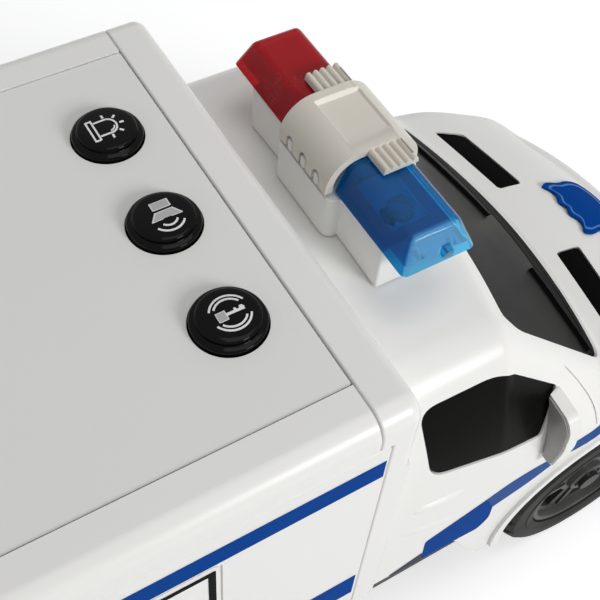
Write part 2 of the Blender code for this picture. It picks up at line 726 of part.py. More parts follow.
def build_cab_trim():
    """Windows, cowl, vents, badge, lamps, grille and bumper that lie in or on the cab's face."""
    screen = common(cab_skin(-GAP, -PANE), prism(windscreen_outline(COWL_Z + COWL_DEPTH, GAP),
                                                 SCREEN_BACK_X, SCREEN_FRONT_X, "X"))
    piece(baked(screen), "windscreen", "tinted")
    cowl = common(
        cab_skin(-GAP, -PANE),
        prism(cowl_outline(GAP), SCREEN_BACK_X, SCREEN_FRONT_X, "X"),
        prism(windscreen_outline(COWL_Z, GAP), SCREEN_BACK_X, SCREEN_FRONT_X, "X"),
    )
    piece(baked(cowl), "cowl_trim", "black")
    for side, word in ((1, "left"), (-1, "right")):
        window = common(cab_skin(-GAP, -PANE), side_cutter(side_window_outline(GAP), side))
        piece(baked(window), f"side_window_{word}", "tinted")
        vent = vent_outline(GAP) if side > 0 else flipped_above(vent_outline(GAP))
        insert = common(cab_skin(-GAP, -PANE), prism(vent, VENT_LOW_Z, VENT_HIGH_Z, "Z"))
        piece(baked(insert), f"bonnet_vent_{word}", "black")
        lamp = lamp_outline(GAP) if side > 0 else flipped(lamp_outline(GAP))
        lens = common(cab_skin(0, -WALL), prism(lamp, NOSE_BACK_X, NOSE_FRONT_X, "X"))
        piece(baked(lens), f"headlight_{word}", "clear_lens")
    rear, front = BADGE_X - BADGE_LENGTH / 2, BADGE_X + BADGE_LENGTH / 2
    badge = rounded((rear, -BADGE_HALF), (front, BADGE_HALF), BADGE_LENGTH * 0.35)
    mark = common(cab_skin(GAP, BADGE_THICK), prism(badge, VENT_LOW_Z - 6 * MM, VENT_HIGH_Z, "Z"))
    piece(baked(mark), "bonnet_badge", "blue")
    low, high = LAMP_LOW_Z - 1 * MM + GAP, LAMP_HIGH_Z - GAP
    half = GRILLE_HALF - GAP
    grille = common(cab_skin(0, -WALL), prism(rounded((-half, low), (half, high), 2 * MM),
                                              NOSE_BACK_X, NOSE_FRONT_X, "X"))
    rise = (high - low - GRILLE_BAR) / 3
    for k in range(3):
        slot = low + GRILLE_BAR + k * rise
        cut(grille, block((NOSE_BACK_X, -half + 2 * GRILLE_BAR, slot),
                          (NOSE_FRONT_X, half - 2 * GRILLE_BAR, slot + rise - GRILLE_BAR)))
    piece(baked(grille), "grille", "black")
    reach = LENGTH / 2 - BONNET_LIP_X - NOSE_REACH + GAP
    bumper = common(
        cab_skin(GAP, reach),
        block((FRONT_AXLE_X, -CAB_OUTER - reach, BUMPER_LOW_Z), (LENGTH / 2, CAB_OUTER + reach, BUMPER_HIGH_Z)),
    )
    for side in (1, -1):
        cut(bumper, wheel_opening(ARCH_RADIUS + ARCH_LIP + 2 * GAP, side))
    piece(baked(bumper), "front_bumper", "grey")


def mirror_outline(inset):
    """The left mirror seen from behind, straight at the door and round on the outside."""
    low, high = MIRROR_LOW_Z + inset, MIRROR_HIGH_Z - inset
    inner, outer = CAB_HALF - 6 * MM + inset, MIRROR_HALF - inset
    return soft_corners(
        [(inner, low + 3 * MM), (outer - 4 * MM, low), (outer, low + 10 * MM), (outer - 0.5 * MM, high - 7 * MM),
         (outer - 6 * MM, high - 0.5 * MM), (inner, high)],
        5 * MM,
    )


def build_mirrors():
    door = cab_skin(GAP, -4 * WALL)
    glass_face = MIRROR_X + MIRROR_FRAME
    for side, word in ((1, "left"), (-1, "right")):
        outline, hollow, glass = (mirror_outline(i) for i in (0, MIRROR_FRAME, MIRROR_FRAME + GAP))
        if side < 0:
            outline, hollow, glass = (flipped(o) for o in (outline, hollow, glass))
        frame_in = side * MIRROR_FRAME
        housing = prism(outline, MIRROR_X, MIRROR_X + MIRROR_THICK, "X")
        cut(housing, door, prism(hollow, MIRROR_X - WALL, glass_face, "X"))
        piece(baked(housing), f"mirror_{word}", "white")
        pane = prism(glass, MIRROR_X + GAP, glass_face - GAP, "X")
        guard = copied(door, Matrix.Translation((0, frame_in, 0)))
        piece(baked(cut(pane, guard)), f"mirror_glass_{word}", "silver")


# Box, hoop and roof panel

def box_section(inset, low):
    """The box seen from behind: straight sides with round roof edges."""
    half, top = BOX_HALF - inset, ROOF_Z - inset
    radius = max(ROOF_EDGE_RADIUS - inset, 0.8 * MM)
    return (
        [(half, low)]
        + arc((half - radius, top - radius), radius, 0, 90, 6)
        + arc((-half + radius, top - radius), radius, 90, 180, 6)
        + [(-half, low)]
    )


def cavity_section(low):
    half, top = BOX_HALF - WALL, ROOF_Z - ROOF_RIM
    return [(half, low), (half, top), (-half, top), (-half, low)]


def build_box():
    below = SILL_Z - WALL
    shell = prism(box_section(0, SILL_Z), BOX_REAR_X, HOOP_SIDE_X - GAP / 2, "X")
    cut(
        shell,
        prism(cavity_section(below), BOX_REAR_X + WALL, HOOP_SIDE_X + WALL, "X"),
        block((HOOP_ROOF_X - GAP / 2, -BOX_HALF - WALL, HOOP_STEP_Z), (BOX_FRONT_X, BOX_HALF + WALL, ROOF_Z + WALL)),
        prism(
            rounded((PANEL_REAR_X, -PANEL_HALF), (HOOP_ROOF_X + 4 * WALL, PANEL_HALF), 2 * MM),
            PANEL_TOP - PANEL_THICK - GAP, ROOF_Z + WALL, "Z",
        ),
        block((PANEL_REAR_X + LEDGE, -PANEL_HALF + LEDGE, ROOF_Z - 2 * ROOF_RIM),
              (HOOP_ROOF_X + WALL, PANEL_HALF - LEDGE, ROOF_Z + WALL)),
        rod((REAR_AXLE_X, -BOX_HALF - WALL, AXLE_Z), (REAR_AXLE_X, BOX_HALF + WALL, AXLE_Z), ARCH_RADIUS),
    )
    piece(baked(shell), "box_shell", "white")

    hoop = prism(box_section(0, SILL_Z), HOOP_ROOF_X + GAP / 2, BOX_FRONT_X, "X")
    front_wall_low = SILL_Z + LIP_RISE + 2 * GAP
    cut(
        hoop,
        prism(cavity_section(below), HOOP_ROOF_X - WALL, BOX_FRONT_X - WALL, "X"),
        block((HOOP_ROOF_X - WALL, -BOX_HALF + WALL, below), (BOX_FRONT_X + WALL, BOX_HALF - WALL, front_wall_low)),
        block((HOOP_ROOF_X - WALL, -BOX_HALF - WALL, below), (HOOP_SIDE_X + GAP / 2, BOX_HALF + WALL, HOOP_STEP_Z + GAP)),
    )
    shelf_top = PANEL_TOP - PANEL_THICK - GAP
    fuse(hoop, block((HOOP_ROOF_X - LEDGE, -PANEL_HALF + LEDGE + 2 * GAP, ROOF_Z - ROOF_RIM),
                     (HOOP_ROOF_X + WALL, PANEL_HALF - LEDGE - 2 * GAP, shelf_top)))
    piece(baked(hoop), "box_front_hoop", "white")


def build_roof():
    """Roof panel with the collars that guide its buttons, the buttons and their switch board."""
    low, high = PANEL_TOP - PANEL_THICK, PANEL_TOP
    panel = prism(
        rounded((PANEL_REAR_X + GAP, -PANEL_HALF + GAP), (HOOP_ROOF_X - GAP / 2, PANEL_HALF - GAP), 2 * MM),
        low, high, "Z",
    )
    middle = low + PANEL_THICK / 2
    centres = [(BUTTON_X, BUTTON_PITCH * k) for k in (1, 0, -1)]
    collar = BUTTON_RADIUS + GAP + BUTTON_FLANGE
    for x, y in centres:
        fuse(panel, rod((x, y, COLLAR_Z), (x, y, middle), collar))
    for y in (BUTTON_PITCH / 2, -BUTTON_PITCH / 2):
        fuse(panel, rod((BUTTON_X, y, KEY_BOARD_TOP + GAP), (BUTTON_X, y, middle), POST_RADIUS, 12))
    for x, y in centres:
        cut(panel, rod((x, y, COLLAR_Z - WALL), (x, y, high + WALL), BUTTON_RADIUS + GAP))
    piece(baked(panel), "roof_panel", "roof")

    flange_top = COLLAR_Z - GAP
    cap = BUTTON_RADIUS - 1.05 * MM
    profile = [
        (0, BUTTON_HEIGHT), (0.55 * cap, BUTTON_HEIGHT - 0.05 * MM), (0.88 * cap, BUTTON_HEIGHT - 0.25 * MM),
        (cap, BUTTON_HEIGHT - 0.8 * MM), (cap, BUTTON_HEIGHT - 1.3 * MM), (BUTTON_RADIUS, BUTTON_HEIGHT - 1.6 * MM),
        (BUTTON_RADIUS, flange_top - PANEL_TOP), (collar, flange_top - PANEL_TOP),
        (collar, flange_top - BUTTON_FLANGE - PANEL_TOP), (0, flange_top - BUTTON_FLANGE - PANEL_TOP),
    ]
    for (x, y), name in zip(centres, ("beacon_button", "sound_button", "start_button")):
        place = Matrix.Translation((x, y, PANEL_TOP))
        piece(turned(profile, place), name, "gloss_black", joint_empty(f"{name}_axis", (x, y, PANEL_TOP)))

    half_x = BUTTON_RADIUS + 2 * MM
    board = block(
        (BUTTON_X - half_x, -BUTTON_PITCH - half_x, KEY_BOARD_TOP - BOARD_THICK),
        (BUTTON_X + half_x, BUTTON_PITCH + half_x, KEY_BOARD_TOP),
    )
    for x, y in centres:
        fuse(board, rod((x, y, KEY_BOARD_TOP - GAP), (x, y, KEY_BOARD_TOP + SWITCH_HEIGHT - GAP), SWITCH_RADIUS, 12))
    piece(baked(board), "button_board", "board")


def build_rear():
    """Moulded rear doors, tail lights and rear bumper on the back of the box."""
    face = BOX_REAR_X - GAP
    half = BOX_HALF - TAIL_WIDTH - 3 * GAP
    doors = prism(rounded((-half, BUMPER_HIGH_Z + GAP), (half, ROOF_Z - ROOF_EDGE_RADIUS), 3 * MM),
                  face - DOOR_THICK, face, "X")
    groove = face - DOOR_THICK + 0.8 * MM
    cut(doors, block((face - WALL - DOOR_THICK, -0.5 * MM, SILL_Z), (groove, 0.5 * MM, ROOF_Z)))
    for side in (1, -1):
        inner, outer = sorted((side * 6 * MM, side * (half - 6 * MM)))
        glass = rounded((inner, TAIL_LOW_Z + TAIL_HEIGHT), (outer, ROOF_Z - 4 * ROOF_EDGE_RADIUS + 8 * MM), 3 * MM)
        cut(doors, prism(glass, face - WALL - DOOR_THICK, groove, "X"))
    piece(baked(doors), "rear_doors", "white")
    for side, word in ((1, "left"), (-1, "right")):
        low, high = sorted((side * (half + GAP), side * (BOX_HALF - GAP)))
        lamp = block((face - DOOR_THICK, low, TAIL_LOW_Z), (face, high, TAIL_LOW_Z + TAIL_HEIGHT), 0.6 * MM)
        piece(lamp, f"tail_light_{word}", "red_lens")
    bumper = block((-LENGTH / 2, -BOX_HALF + GAP, BUMPER_LOW_Z), (face, BOX_HALF - GAP, BUMPER_HIGH_Z), 1.2 * MM)
    piece(bumper, "rear_bumper", "grey")


# Lightbar

def lens_block(inset, low, inner, outer, side):
    """A lens body: a block whose front, rear and outer faces lean in towards the top."""
    reach = outer - inset
    shape = bmesh.new()
    corners = []
    for z, lean in ((low, 0), (LENS_TOP_Z - inset, LENS_TAPER)):
        rear, front = LENS_REAR_X + inset + lean, LENS_FRONT_X - inset - lean
        near, far = side * inner, side * (reach - lean)
        corners.append([shape.verts.new((x, y, z)) for x, y in ((rear, near), (front, near), (front, far), (rear, far))])
    bottom, top = corners
    shape.faces.new(bottom)
    shape.faces.new(top)
    for i in range(4):
        j = (i + 1) % 4
        shape.faces.new((bottom[i], bottom[j], top[j], top[i]))
    if inset == 0:
        bmesh.ops.recalc_face_normals(shape, faces=shape.faces[:])
        bmesh.ops.bevel(shape, geom=[e for e in shape.edges if max(v.co.z for v in e.verts) > low + WELD],
                        offset=0.9 * MM, segments=2, profile=0.5, affect="EDGES")
    return from_bmesh(shape)


def saddle_outline(inset):
    """The saddle seen from the side: an arch from its rear foot over the lenses to its front foot."""
    rear, front = LENS_REAR_X - WALL - GAP + inset, LENS_FRONT_X + WALL + GAP - inset
    top = LENS_TOP_Z + GAP + SADDLE_WALL - inset
    foot = LENS_BASE_Z + GAP
    radius = 7 * MM - inset
    return (
        [(front, foot)]
        + arc((front - radius, top - radius), radius, 0, 90, 5)
        + arc((rear + radius, top - radius), radius, 90, 180, 5)
        + [(rear, foot)]
    )


def build_lightbar():
    roof_cut = cab_skin(GAP, -3 * WALL)
    base_top = LENS_BASE_Z - GAP
    low = CAB_ROOF_Z - 2 * WALL
    base = block((LENS_REAR_X + GAP, -BAR_BASE_HALF, low), (LENS_FRONT_X - GAP, BAR_BASE_HALF, base_top), 0.6 * MM)
    plinth = prism(
        rounded((LENS_REAR_X - WALL - GAP, -PLINTH_HALF), (LENS_FRONT_X + WALL + GAP, PLINTH_HALF), 2 * MM),
        low, base_top - GAP, "Z",
    )
    board_low = base_top - WALL - GAP - BOARD_THICK
    fuse(base, plinth)
    cut(
        base, roof_cut,
        block((LENS_REAR_X + 2 * WALL, -BAR_BASE_HALF + WALL, low - WALL),
              (LENS_FRONT_X - 2 * WALL, BAR_BASE_HALF - WALL, base_top - WALL)),
    )
    for side in (1, -1):
        cut(base, rod((LENS_MID_X, side * LED_Y, low), (LENS_MID_X, side * LED_Y, base_top + WALL), LED_RADIUS + GAP))
    piece(baked(base), "lightbar_base", "white")

    board = block(
        (LENS_REAR_X + 2 * WALL + GAP, -BAR_BASE_HALF + WALL + GAP, board_low),
        (LENS_FRONT_X - 2 * WALL - GAP, BAR_BASE_HALF - WALL - GAP, board_low + BOARD_THICK),
    )
    for side in (1, -1):
        y = side * LED_Y
        tip = LENS_TOP_Z - LENS_WALL - 2 * MM
        profile = [(0, tip), (0.6 * LED_RADIUS, tip - 0.5 * MM), (LED_RADIUS, tip - 1.8 * MM), (LED_RADIUS, board_low + GAP),
                   (0, board_low + GAP)]
        fuse(board, turned(profile, Matrix.Translation((LENS_MID_X, y, 0)), steps=16))
    piece(baked(board), "light_board", "clear_lens")

    inner = SADDLE_HALF - 1 * MM
    for side, name, finish in ((1, "lens_red", "red_lens"), (-1, "lens_blue", "blue_lens")):
        lens = lens_block(0, LENS_BASE_Z, inner, LENS_HALF, side)
        mouth = sorted((side * (inner + LENS_WALL), side * (BAR_BASE_HALF - WALL)))
        cut(
            lens,
            lens_block(LENS_WALL, LENS_BASE_Z + LENS_WALL, inner + LENS_WALL, LENS_HALF, side),
            block((LENS_REAR_X + 2 * WALL, mouth[0], LENS_BASE_Z - WALL),
                  (LENS_FRONT_X - 2 * WALL, mouth[1], LENS_BASE_Z + 2 * LENS_WALL)),
        )
        piece(baked(lens), name, finish)

    saddle = prism(saddle_outline(0), -SADDLE_HALF, SADDLE_HALF, "Y")
    tab_low = LENS_TOP_Z + GAP
    tab_rear, tab_front = LENS_REAR_X + 6 * MM, LENS_FRONT_X - 2 * MM
    pitch = (tab_front - tab_rear) / TAB_RIDGES
    ridged = [(tab_front, tab_low), (tab_rear, tab_low)]
    for k in range(TAB_RIDGES):
        start = tab_rear + k * pitch
        ridged += [(start + share * pitch, tab_low + rise * MM) for share, rise in ((0.1, 0.8), (0.3, 1.4), (0.7, 1.4), (0.9, 0.8))]
    fuse(saddle, prism(ridged, -SADDLE_HALF - TAB_REACH, SADDLE_HALF + TAB_REACH, "Y"))
    hollow = [(u, v) for u, v in saddle_outline(SADDLE_WALL)]
    hollow[0] = (hollow[0][0], LENS_BASE_Z - WALL)
    hollow[-1] = (hollow[-1][0], LENS_BASE_Z - WALL)
    cut(saddle, prism(hollow, -SADDLE_HALF - WALL, SADDLE_HALF + WALL, "Y"))
    for k in (-1, 0, 1):
        y = k * SADDLE_HALF * 0.55
        cut(saddle, rod((LENS_REAR_X - 3 * WALL, y, LENS_BASE_Z), (LENS_REAR_X, y, LENS_BASE_Z), 1.1 * MM, 10))
    top = LENS_TOP_Z + GAP + SADDLE_WALL
    recess = bmesh.new()
    bmesh.ops.create_cone(
        recess, cap_ends=True, segments=4, radius1=5.2 * MM, radius2=8.2 * MM, depth=1.4 * MM,
        matrix=Matrix.Translation((LENS_MID_X + 1 * MM, 0, top)) @ Matrix.Rotation(math.pi / 4, 4, "Z"),
    )
    cut(saddle, from_bmesh(recess))
    piece(baked(saddle), "lightbar_saddle", "cream")


# Wheels and steering

def wheel_place(x, side):
    """Turns a wheel's own axis outwards, on its side of the van."""
    return Matrix.Translation((x, side * WHEEL_Y, AXLE_Z)) @ Matrix.Rotation(-side * math.pi / 2, 4, "X")


def make_rim():
    """A dished rim on its own axis, with an open spoke face outside."""
    bore = AXLE_RADIUS + GAP
    hub, barrel, half = 4.8 * MM, RIM_RADIUS - 1.6 * MM, TYRE_WIDTH / 2 - 1 * MM
    face, back = half - 2 * MM, half - 4.5 * MM
    profile = [
        (bore, face + 1.5 * MM), (hub, face + 1.5 * MM), (hub + 0.4 * MM, face), (barrel - 0.4 * MM, face),
        (barrel, half), (RIM_RADIUS, half), (RIM_RADIUS, -half), (barrel, -half), (barrel, back), (hub, back),
        (hub, -half + 3 * MM), (bore, -half + 3 * MM),
    ]
    rim = turned(profile, Matrix.Identity(4), closed=True, steps=ROUND_STEPS - 2)
    spread = math.pi / SPOKES * 0.55
    for k in range(SPOKES):
        middle = math.degrees(2 * math.pi * k / SPOKES)
        outer = arc((0, 0), barrel - 1.6 * MM, middle - math.degrees(spread), middle + math.degrees(spread), 3)
        inner = arc((0, 0), hub + 2 * MM, middle + math.degrees(spread) * 0.7, middle - math.degrees(spread) * 0.7, 1)
        cut(rim, prism(outer + inner, back - WALL, face + WALL, "Z"))
    return baked(rim)


def make_tyre():
    half, bead = TYRE_WIDTH / 2, RIM_RADIUS + GAP
    crown, cavity = half - 2.6 * MM, half - 2.8 * MM
    deep = TYRE_RADIUS - 3 * MM
    profile = [
        (bead, half - 0.6 * MM), (TYRE_RADIUS - 2 * MM, half), (TYRE_RADIUS, crown), (TYRE_RADIUS, -crown),
        (TYRE_RADIUS - 2 * MM, -half), (bead, -half + 0.6 * MM), (bead, -cavity), (deep, -cavity), (deep, cavity),
        (bead, cavity),
    ]
    return turned(profile, Matrix.Identity(4), closed=True, steps=ROUND_STEPS + 4)


def build_wheels():
    rim, tyre = make_rim(), make_tyre()
    axle_empty = joint_empty("rear_axle_line", (REAR_AXLE_X, 0, AXLE_Z))
    for side, word in ((1, "left"), (-1, "right")):
        front_empty = joint_empty(f"front_wheel_{word}_axis", (FRONT_AXLE_X, side * WHEEL_Y, AXLE_Z))
        for x, end, pivot in ((FRONT_AXLE_X, "front", front_empty), (REAR_AXLE_X, "rear", axle_empty)):
            place = wheel_place(x, side)
            piece(copied(rim, place), f"{end}_rim_{word}", "grey", pivot)
            piece(copied(tyre, place), f"{end}_tyre_{word}", "rubber", pivot)
    for shape in (rim, tyre):
        bpy.data.objects.remove(shape, do_unlink=True)
    return axle_empty


def build_steering():
    """Knuckles on their kingpins, joined by the tie rod that the servo arm moves."""
    low, high = AXLE_Z - KNUCKLE_LOW, AXLE_Z + KNUCKLE_HIGH
    arm_x = FRONT_AXLE_X - STEER_ARM
    arm_low, arm_high = AXLE_Z + 2 * MM, AXLE_Z + 4.5 * MM
    rod_low = arm_high + GAP + 0.2 * MM
    rod_high = rod_low + 2 * MM
    hub_face = WHEEL_Y - TYRE_WIDTH / 2 + 4 * MM
    hub_end = WHEEL_Y + TYRE_WIDTH / 2 - 1.5 * MM
    for side, word in ((1, "left"), (-1, "right")):
        y = side * KINGPIN_Y
        pivot = joint_empty(f"steer_{word}_axis", (FRONT_AXLE_X, y, AXLE_Z))
        knuckle = block((FRONT_AXLE_X - 3.5 * MM, y - 3.5 * MM, low), (FRONT_AXLE_X + 3.5 * MM, y + 3.5 * MM, high))
        fuse(
            knuckle,
            rod((FRONT_AXLE_X, y, FLOOR_Z + GAP), (FRONT_AXLE_X, y, BRIDGE_Z + BRIDGE_THICK - GAP), KINGPIN_RADIUS, 16),
            rod((FRONT_AXLE_X, y, AXLE_Z), (FRONT_AXLE_X, side * (hub_face - GAP), AXLE_Z), 2 * AXLE_RADIUS, 16),
            rod((FRONT_AXLE_X, y, AXLE_Z), (FRONT_AXLE_X, side * (hub_end + GAP), AXLE_Z), AXLE_RADIUS, 16),
            rod((FRONT_AXLE_X, side * (hub_end + GAP / 2), AXLE_Z), (FRONT_AXLE_X, side * (hub_end + 1.2 * MM), AXLE_Z),
                AXLE_RADIUS + 1 * MM, 16),
            block((arm_x - 2 * STEER_PIN, y - 2 * MM, arm_low), (FRONT_AXLE_X, y + 2 * MM, arm_high)),
            rod((arm_x, y, arm_low + GAP), (arm_x, y, rod_high + 0.5 * MM), STEER_PIN, 12),
        )
        piece(baked(knuckle), f"knuckle_{word}", "black", pivot)

    half = STEER_PIN + GAP
    bar = block((arm_x - half - STEER_SLOT - WALL, -KINGPIN_Y - half - WALL, rod_low),
                (arm_x + half + STEER_SLOT + WALL, KINGPIN_Y + half + WALL, rod_high), 0.4 * MM)
    for y in (KINGPIN_Y, 0, -KINGPIN_Y):
        slot = rounded((arm_x - half - STEER_SLOT, y - half), (arm_x + half + STEER_SLOT, y + half), half * 0.98)
        cut(bar, prism(slot, rod_low - WALL, rod_high + WALL, "Z"))
    piece(baked(bar), "tie_rod", "black", joint_empty("tie_rod_line", (arm_x, 0, rod_low)))

    servo_x = arm_x - STEER_ARM
    servo = joint_empty("servo_arm_axis", (servo_x, 0, arm_low))
    arm = prism(rounded((servo_x - 4 * MM, -3 * MM), (arm_x + 2 * STEER_PIN, 3 * MM), 2.4 * MM), arm_low, arm_high, "Z")
    fuse(
        arm,
        rod((arm_x, 0, arm_low + GAP), (arm_x, 0, rod_high + 0.5 * MM), STEER_PIN, 12),
        rod((servo_x, 0, arm_low - 5 * MM), (servo_x, 0, arm_low + GAP), AXLE_RADIUS, 16),
    )
    piece(baked(arm), "servo_arm", "nylon", servo)
    case = block((servo_x - SERVO_REAR, -SERVO_HALF, FLOOR_TOP + GAP), (arm_x - WALL, SERVO_HALF, arm_low - GAP), 0.8 * MM)
    cut(case, rod((servo_x, 0, arm_low - 5 * MM - GAP), (servo_x, 0, arm_low + WALL), AXLE_RADIUS + GAP, 16))
    piece(baked(case), "steering_motor", "black")

    reach = KINGPIN_Y + KINGPIN_RADIUS + GAP + 1.6 * MM
    bridge = block((FRONT_AXLE_X - 5 * MM, -reach, BRIDGE_Z), (FRONT_AXLE_X + 5 * MM, reach, BRIDGE_Z + BRIDGE_THICK))
    for side in (1, -1):
        y = side * KINGPIN_Y
        leg = side * (SPINE_HALF - 4 * MM)
        fuse(bridge, block((FRONT_AXLE_X - 4 * MM, leg - 3 * MM, FLOOR_TOP + GAP),
                           (FRONT_AXLE_X + 4 * MM, leg + 3 * MM, BRIDGE_Z + GAP)))
        cut(bridge, rod((FRONT_AXLE_X, y, BRIDGE_Z - WALL), (FRONT_AXLE_X, y, BRIDGE_Z + BRIDGE_THICK + WALL),
                        KINGPIN_RADIUS + GAP, 16))
    piece(baked(bridge), "steering_bridge", "black")


# Rear drive

def gear_outline(teeth, phase, centre):
    """A spur gear's outline with play at its flanks, tips and roots."""
    pitch_radius = GEAR_MODULE * teeth / 2
    tip, root = pitch_radius + 0.78 * GEAR_MODULE, pitch_radius - 1.28 * GEAR_MODULE
    step = 2 * math.pi / teeth
    points = []
    for k in range(teeth):
        for radius, share in ((root, -0.27), (tip, -0.11), (tip, 0.11), (root, 0.27)):
            angle = phase + (k + share) * step
            points.append((centre[0] + radius * math.cos(angle), centre[1] + radius * math.sin(angle)))
    return points


def circle(centre, radius, steps=16):
    return arc(centre, radius, 360 / steps, 360, steps - 1)


def meshed_phase(followed_phase, followed_teeth, teeth, lean):
    """The phase at which a gear's gap meets the tooth of the gear before it, across a line at that lean."""
    step = 2 * math.pi / followed_teeth
    nearest = followed_phase + round((lean - followed_phase) / step) * step - lean
    return lean + math.pi - nearest * followed_teeth / teeth - math.pi / teeth


def build_drive(axle_empty):
    axle = (REAR_AXLE_X, AXLE_Z)
    idler = (axle[0] + IDLER_REACH * math.cos(IDLER_LEAN), axle[1] + IDLER_REACH * math.sin(IDLER_LEAN))
    pinion = (PINION_X, idler[1] + PINION_REACH * math.sin(PINION_LEAN))
    axle_phase = IDLER_LEAN
    idler_phase = meshed_phase(axle_phase, AXLE_TEETH, IDLER_TEETH, IDLER_LEAN)
    pinion_phase = meshed_phase(idler_phase, IDLER_TEETH, PINION_TEETH, PINION_LEAN)
    low, high = GEAR_Y - GEAR_WIDTH / 2, GEAR_Y + GEAR_WIDTH / 2
    shaft_radius = 1 * MM

    gear = prism([gear_outline(AXLE_TEETH, axle_phase, axle), circle(axle, AXLE_RADIUS + GAP)], low, high, "Y")
    piece(gear, "axle_gear", "nylon", axle_empty)
    gear = prism([gear_outline(IDLER_TEETH, idler_phase, idler), circle(idler, PIN_RADIUS + GAP)], low, high, "Y")
    piece(gear, "idler_gear", "nylon", joint_empty("idler_axis", (idler[0], GEAR_Y, idler[1])))
    gear = prism([gear_outline(PINION_TEETH, pinion_phase, pinion), circle(pinion, shaft_radius + GAP)], low, high, "Y")
    piece(gear, "motor_pinion", "brass", joint_empty("pinion_axis", (pinion[0], GEAR_Y, pinion[1])))

    reach = WHEEL_Y + TYRE_WIDTH / 2 - 2 * MM
    shaft = rod((axle[0], -reach, axle[1]), (axle[0], reach, axle[1]), AXLE_RADIUS, 20)
    piece(shaft, "rear_axle", "steel", axle_empty)

    plate = GEARBOX_PLATE
    inner_y, outer_y = high + 0.8 * MM + plate, low - 0.8 * MM - plate
    tip = GEAR_MODULE * (AXLE_TEETH / 2 + 1)
    room = tip + 1 * MM
    rear_x, front_x = axle[0] - room, pinion[0] + GEARBOX_ROOM
    low_z, top_z = axle[1] - room, pinion[1] + 6 * MM
    case = block((rear_x - plate, outer_y, low_z - plate), (front_x + plate, inner_y, top_z))
    shelf_top = pinion[1] - MOTOR_FLAT - GAP
    shelf = block((pinion[0] - MOTOR_RADIUS + 1 * MM, inner_y - GAP, FLOOR_TOP + GAP),
                  (pinion[0] + MOTOR_RADIUS - 1 * MM, inner_y + MOTOR_LENGTH, shelf_top))
    foot = block((rear_x - 4 * plate, outer_y - 2 * plate, FLOOR_TOP + GAP),
                 (front_x + 3 * plate, inner_y + 2 * plate, FLOOR_TOP + GAP + plate))
    fuse(case, shelf, foot)
    cut(
        case,
        block((rear_x, outer_y + plate, low_z), (front_x, inner_y - plate, top_z + WALL)),
        rod((axle[0], outer_y - WALL * 4, axle[1]), (axle[0], inner_y + WALL * 4, axle[1]), AXLE_RADIUS + GAP, 20),
        rod((pinion[0], inner_y - plate - WALL, pinion[1]), (pinion[0], inner_y + GAP, pinion[1]), 3 * shaft_radius, 16),
    )
    fuse(case, rod((idler[0], outer_y + GAP, idler[1]), (idler[0], inner_y - GAP, idler[1]), PIN_RADIUS, 16))
    piece(baked(case), "gearbox_housing", "black")

    motor_low = inner_y + GAP
    motor = rod((pinion[0], motor_low, pinion[1]), (pinion[0], motor_low + MOTOR_LENGTH, pinion[1]), MOTOR_RADIUS)
    wide = 2 * MOTOR_RADIUS
    for z0, z1 in ((MOTOR_FLAT, wide), (-wide, -MOTOR_FLAT)):
        cut(motor, block((pinion[0] - wide, motor_low - WALL, pinion[1] + z0),
                         (pinion[0] + wide, motor_low + MOTOR_LENGTH + WALL, pinion[1] + z1)))
    fuse(motor, rod((pinion[0], low, pinion[1]), (pinion[0], motor_low + GAP, pinion[1]), shaft_radius, 12))
    piece(baked(motor), "drive_motor", "steel")
    return (rear_x - plate, front_x + plate), (outer_y, inner_y)


# Chassis and what it carries

def floor_outline():
    """The floor seen from above, notched round the four wheels."""
    wide = BOX_HALF - TRAY_INSET - GAP
    rear, front = BOX_REAR_X + WALL + GAP, BONNET_LIP_X + NOSE_REACH - GAP
    nose = FRONT_AXLE_X + FRONT_NOTCH
    half = [
        (rear, wide), (REAR_AXLE_X - REAR_NOTCH, wide), (REAR_AXLE_X - REAR_NOTCH, REAR_NOTCH_HALF),
        (REAR_AXLE_X + REAR_NOTCH, REAR_NOTCH_HALF), (REAR_AXLE_X + REAR_NOTCH, wide),
        (FRONT_AXLE_X - FRONT_NOTCH, wide), (FRONT_AXLE_X - FRONT_NOTCH, SPINE_HALF), (nose, SPINE_HALF),
        (front, SPINE_HALF - 4 * MM),
    ]
    return half + [(x, -y) for x, y in reversed(half)]


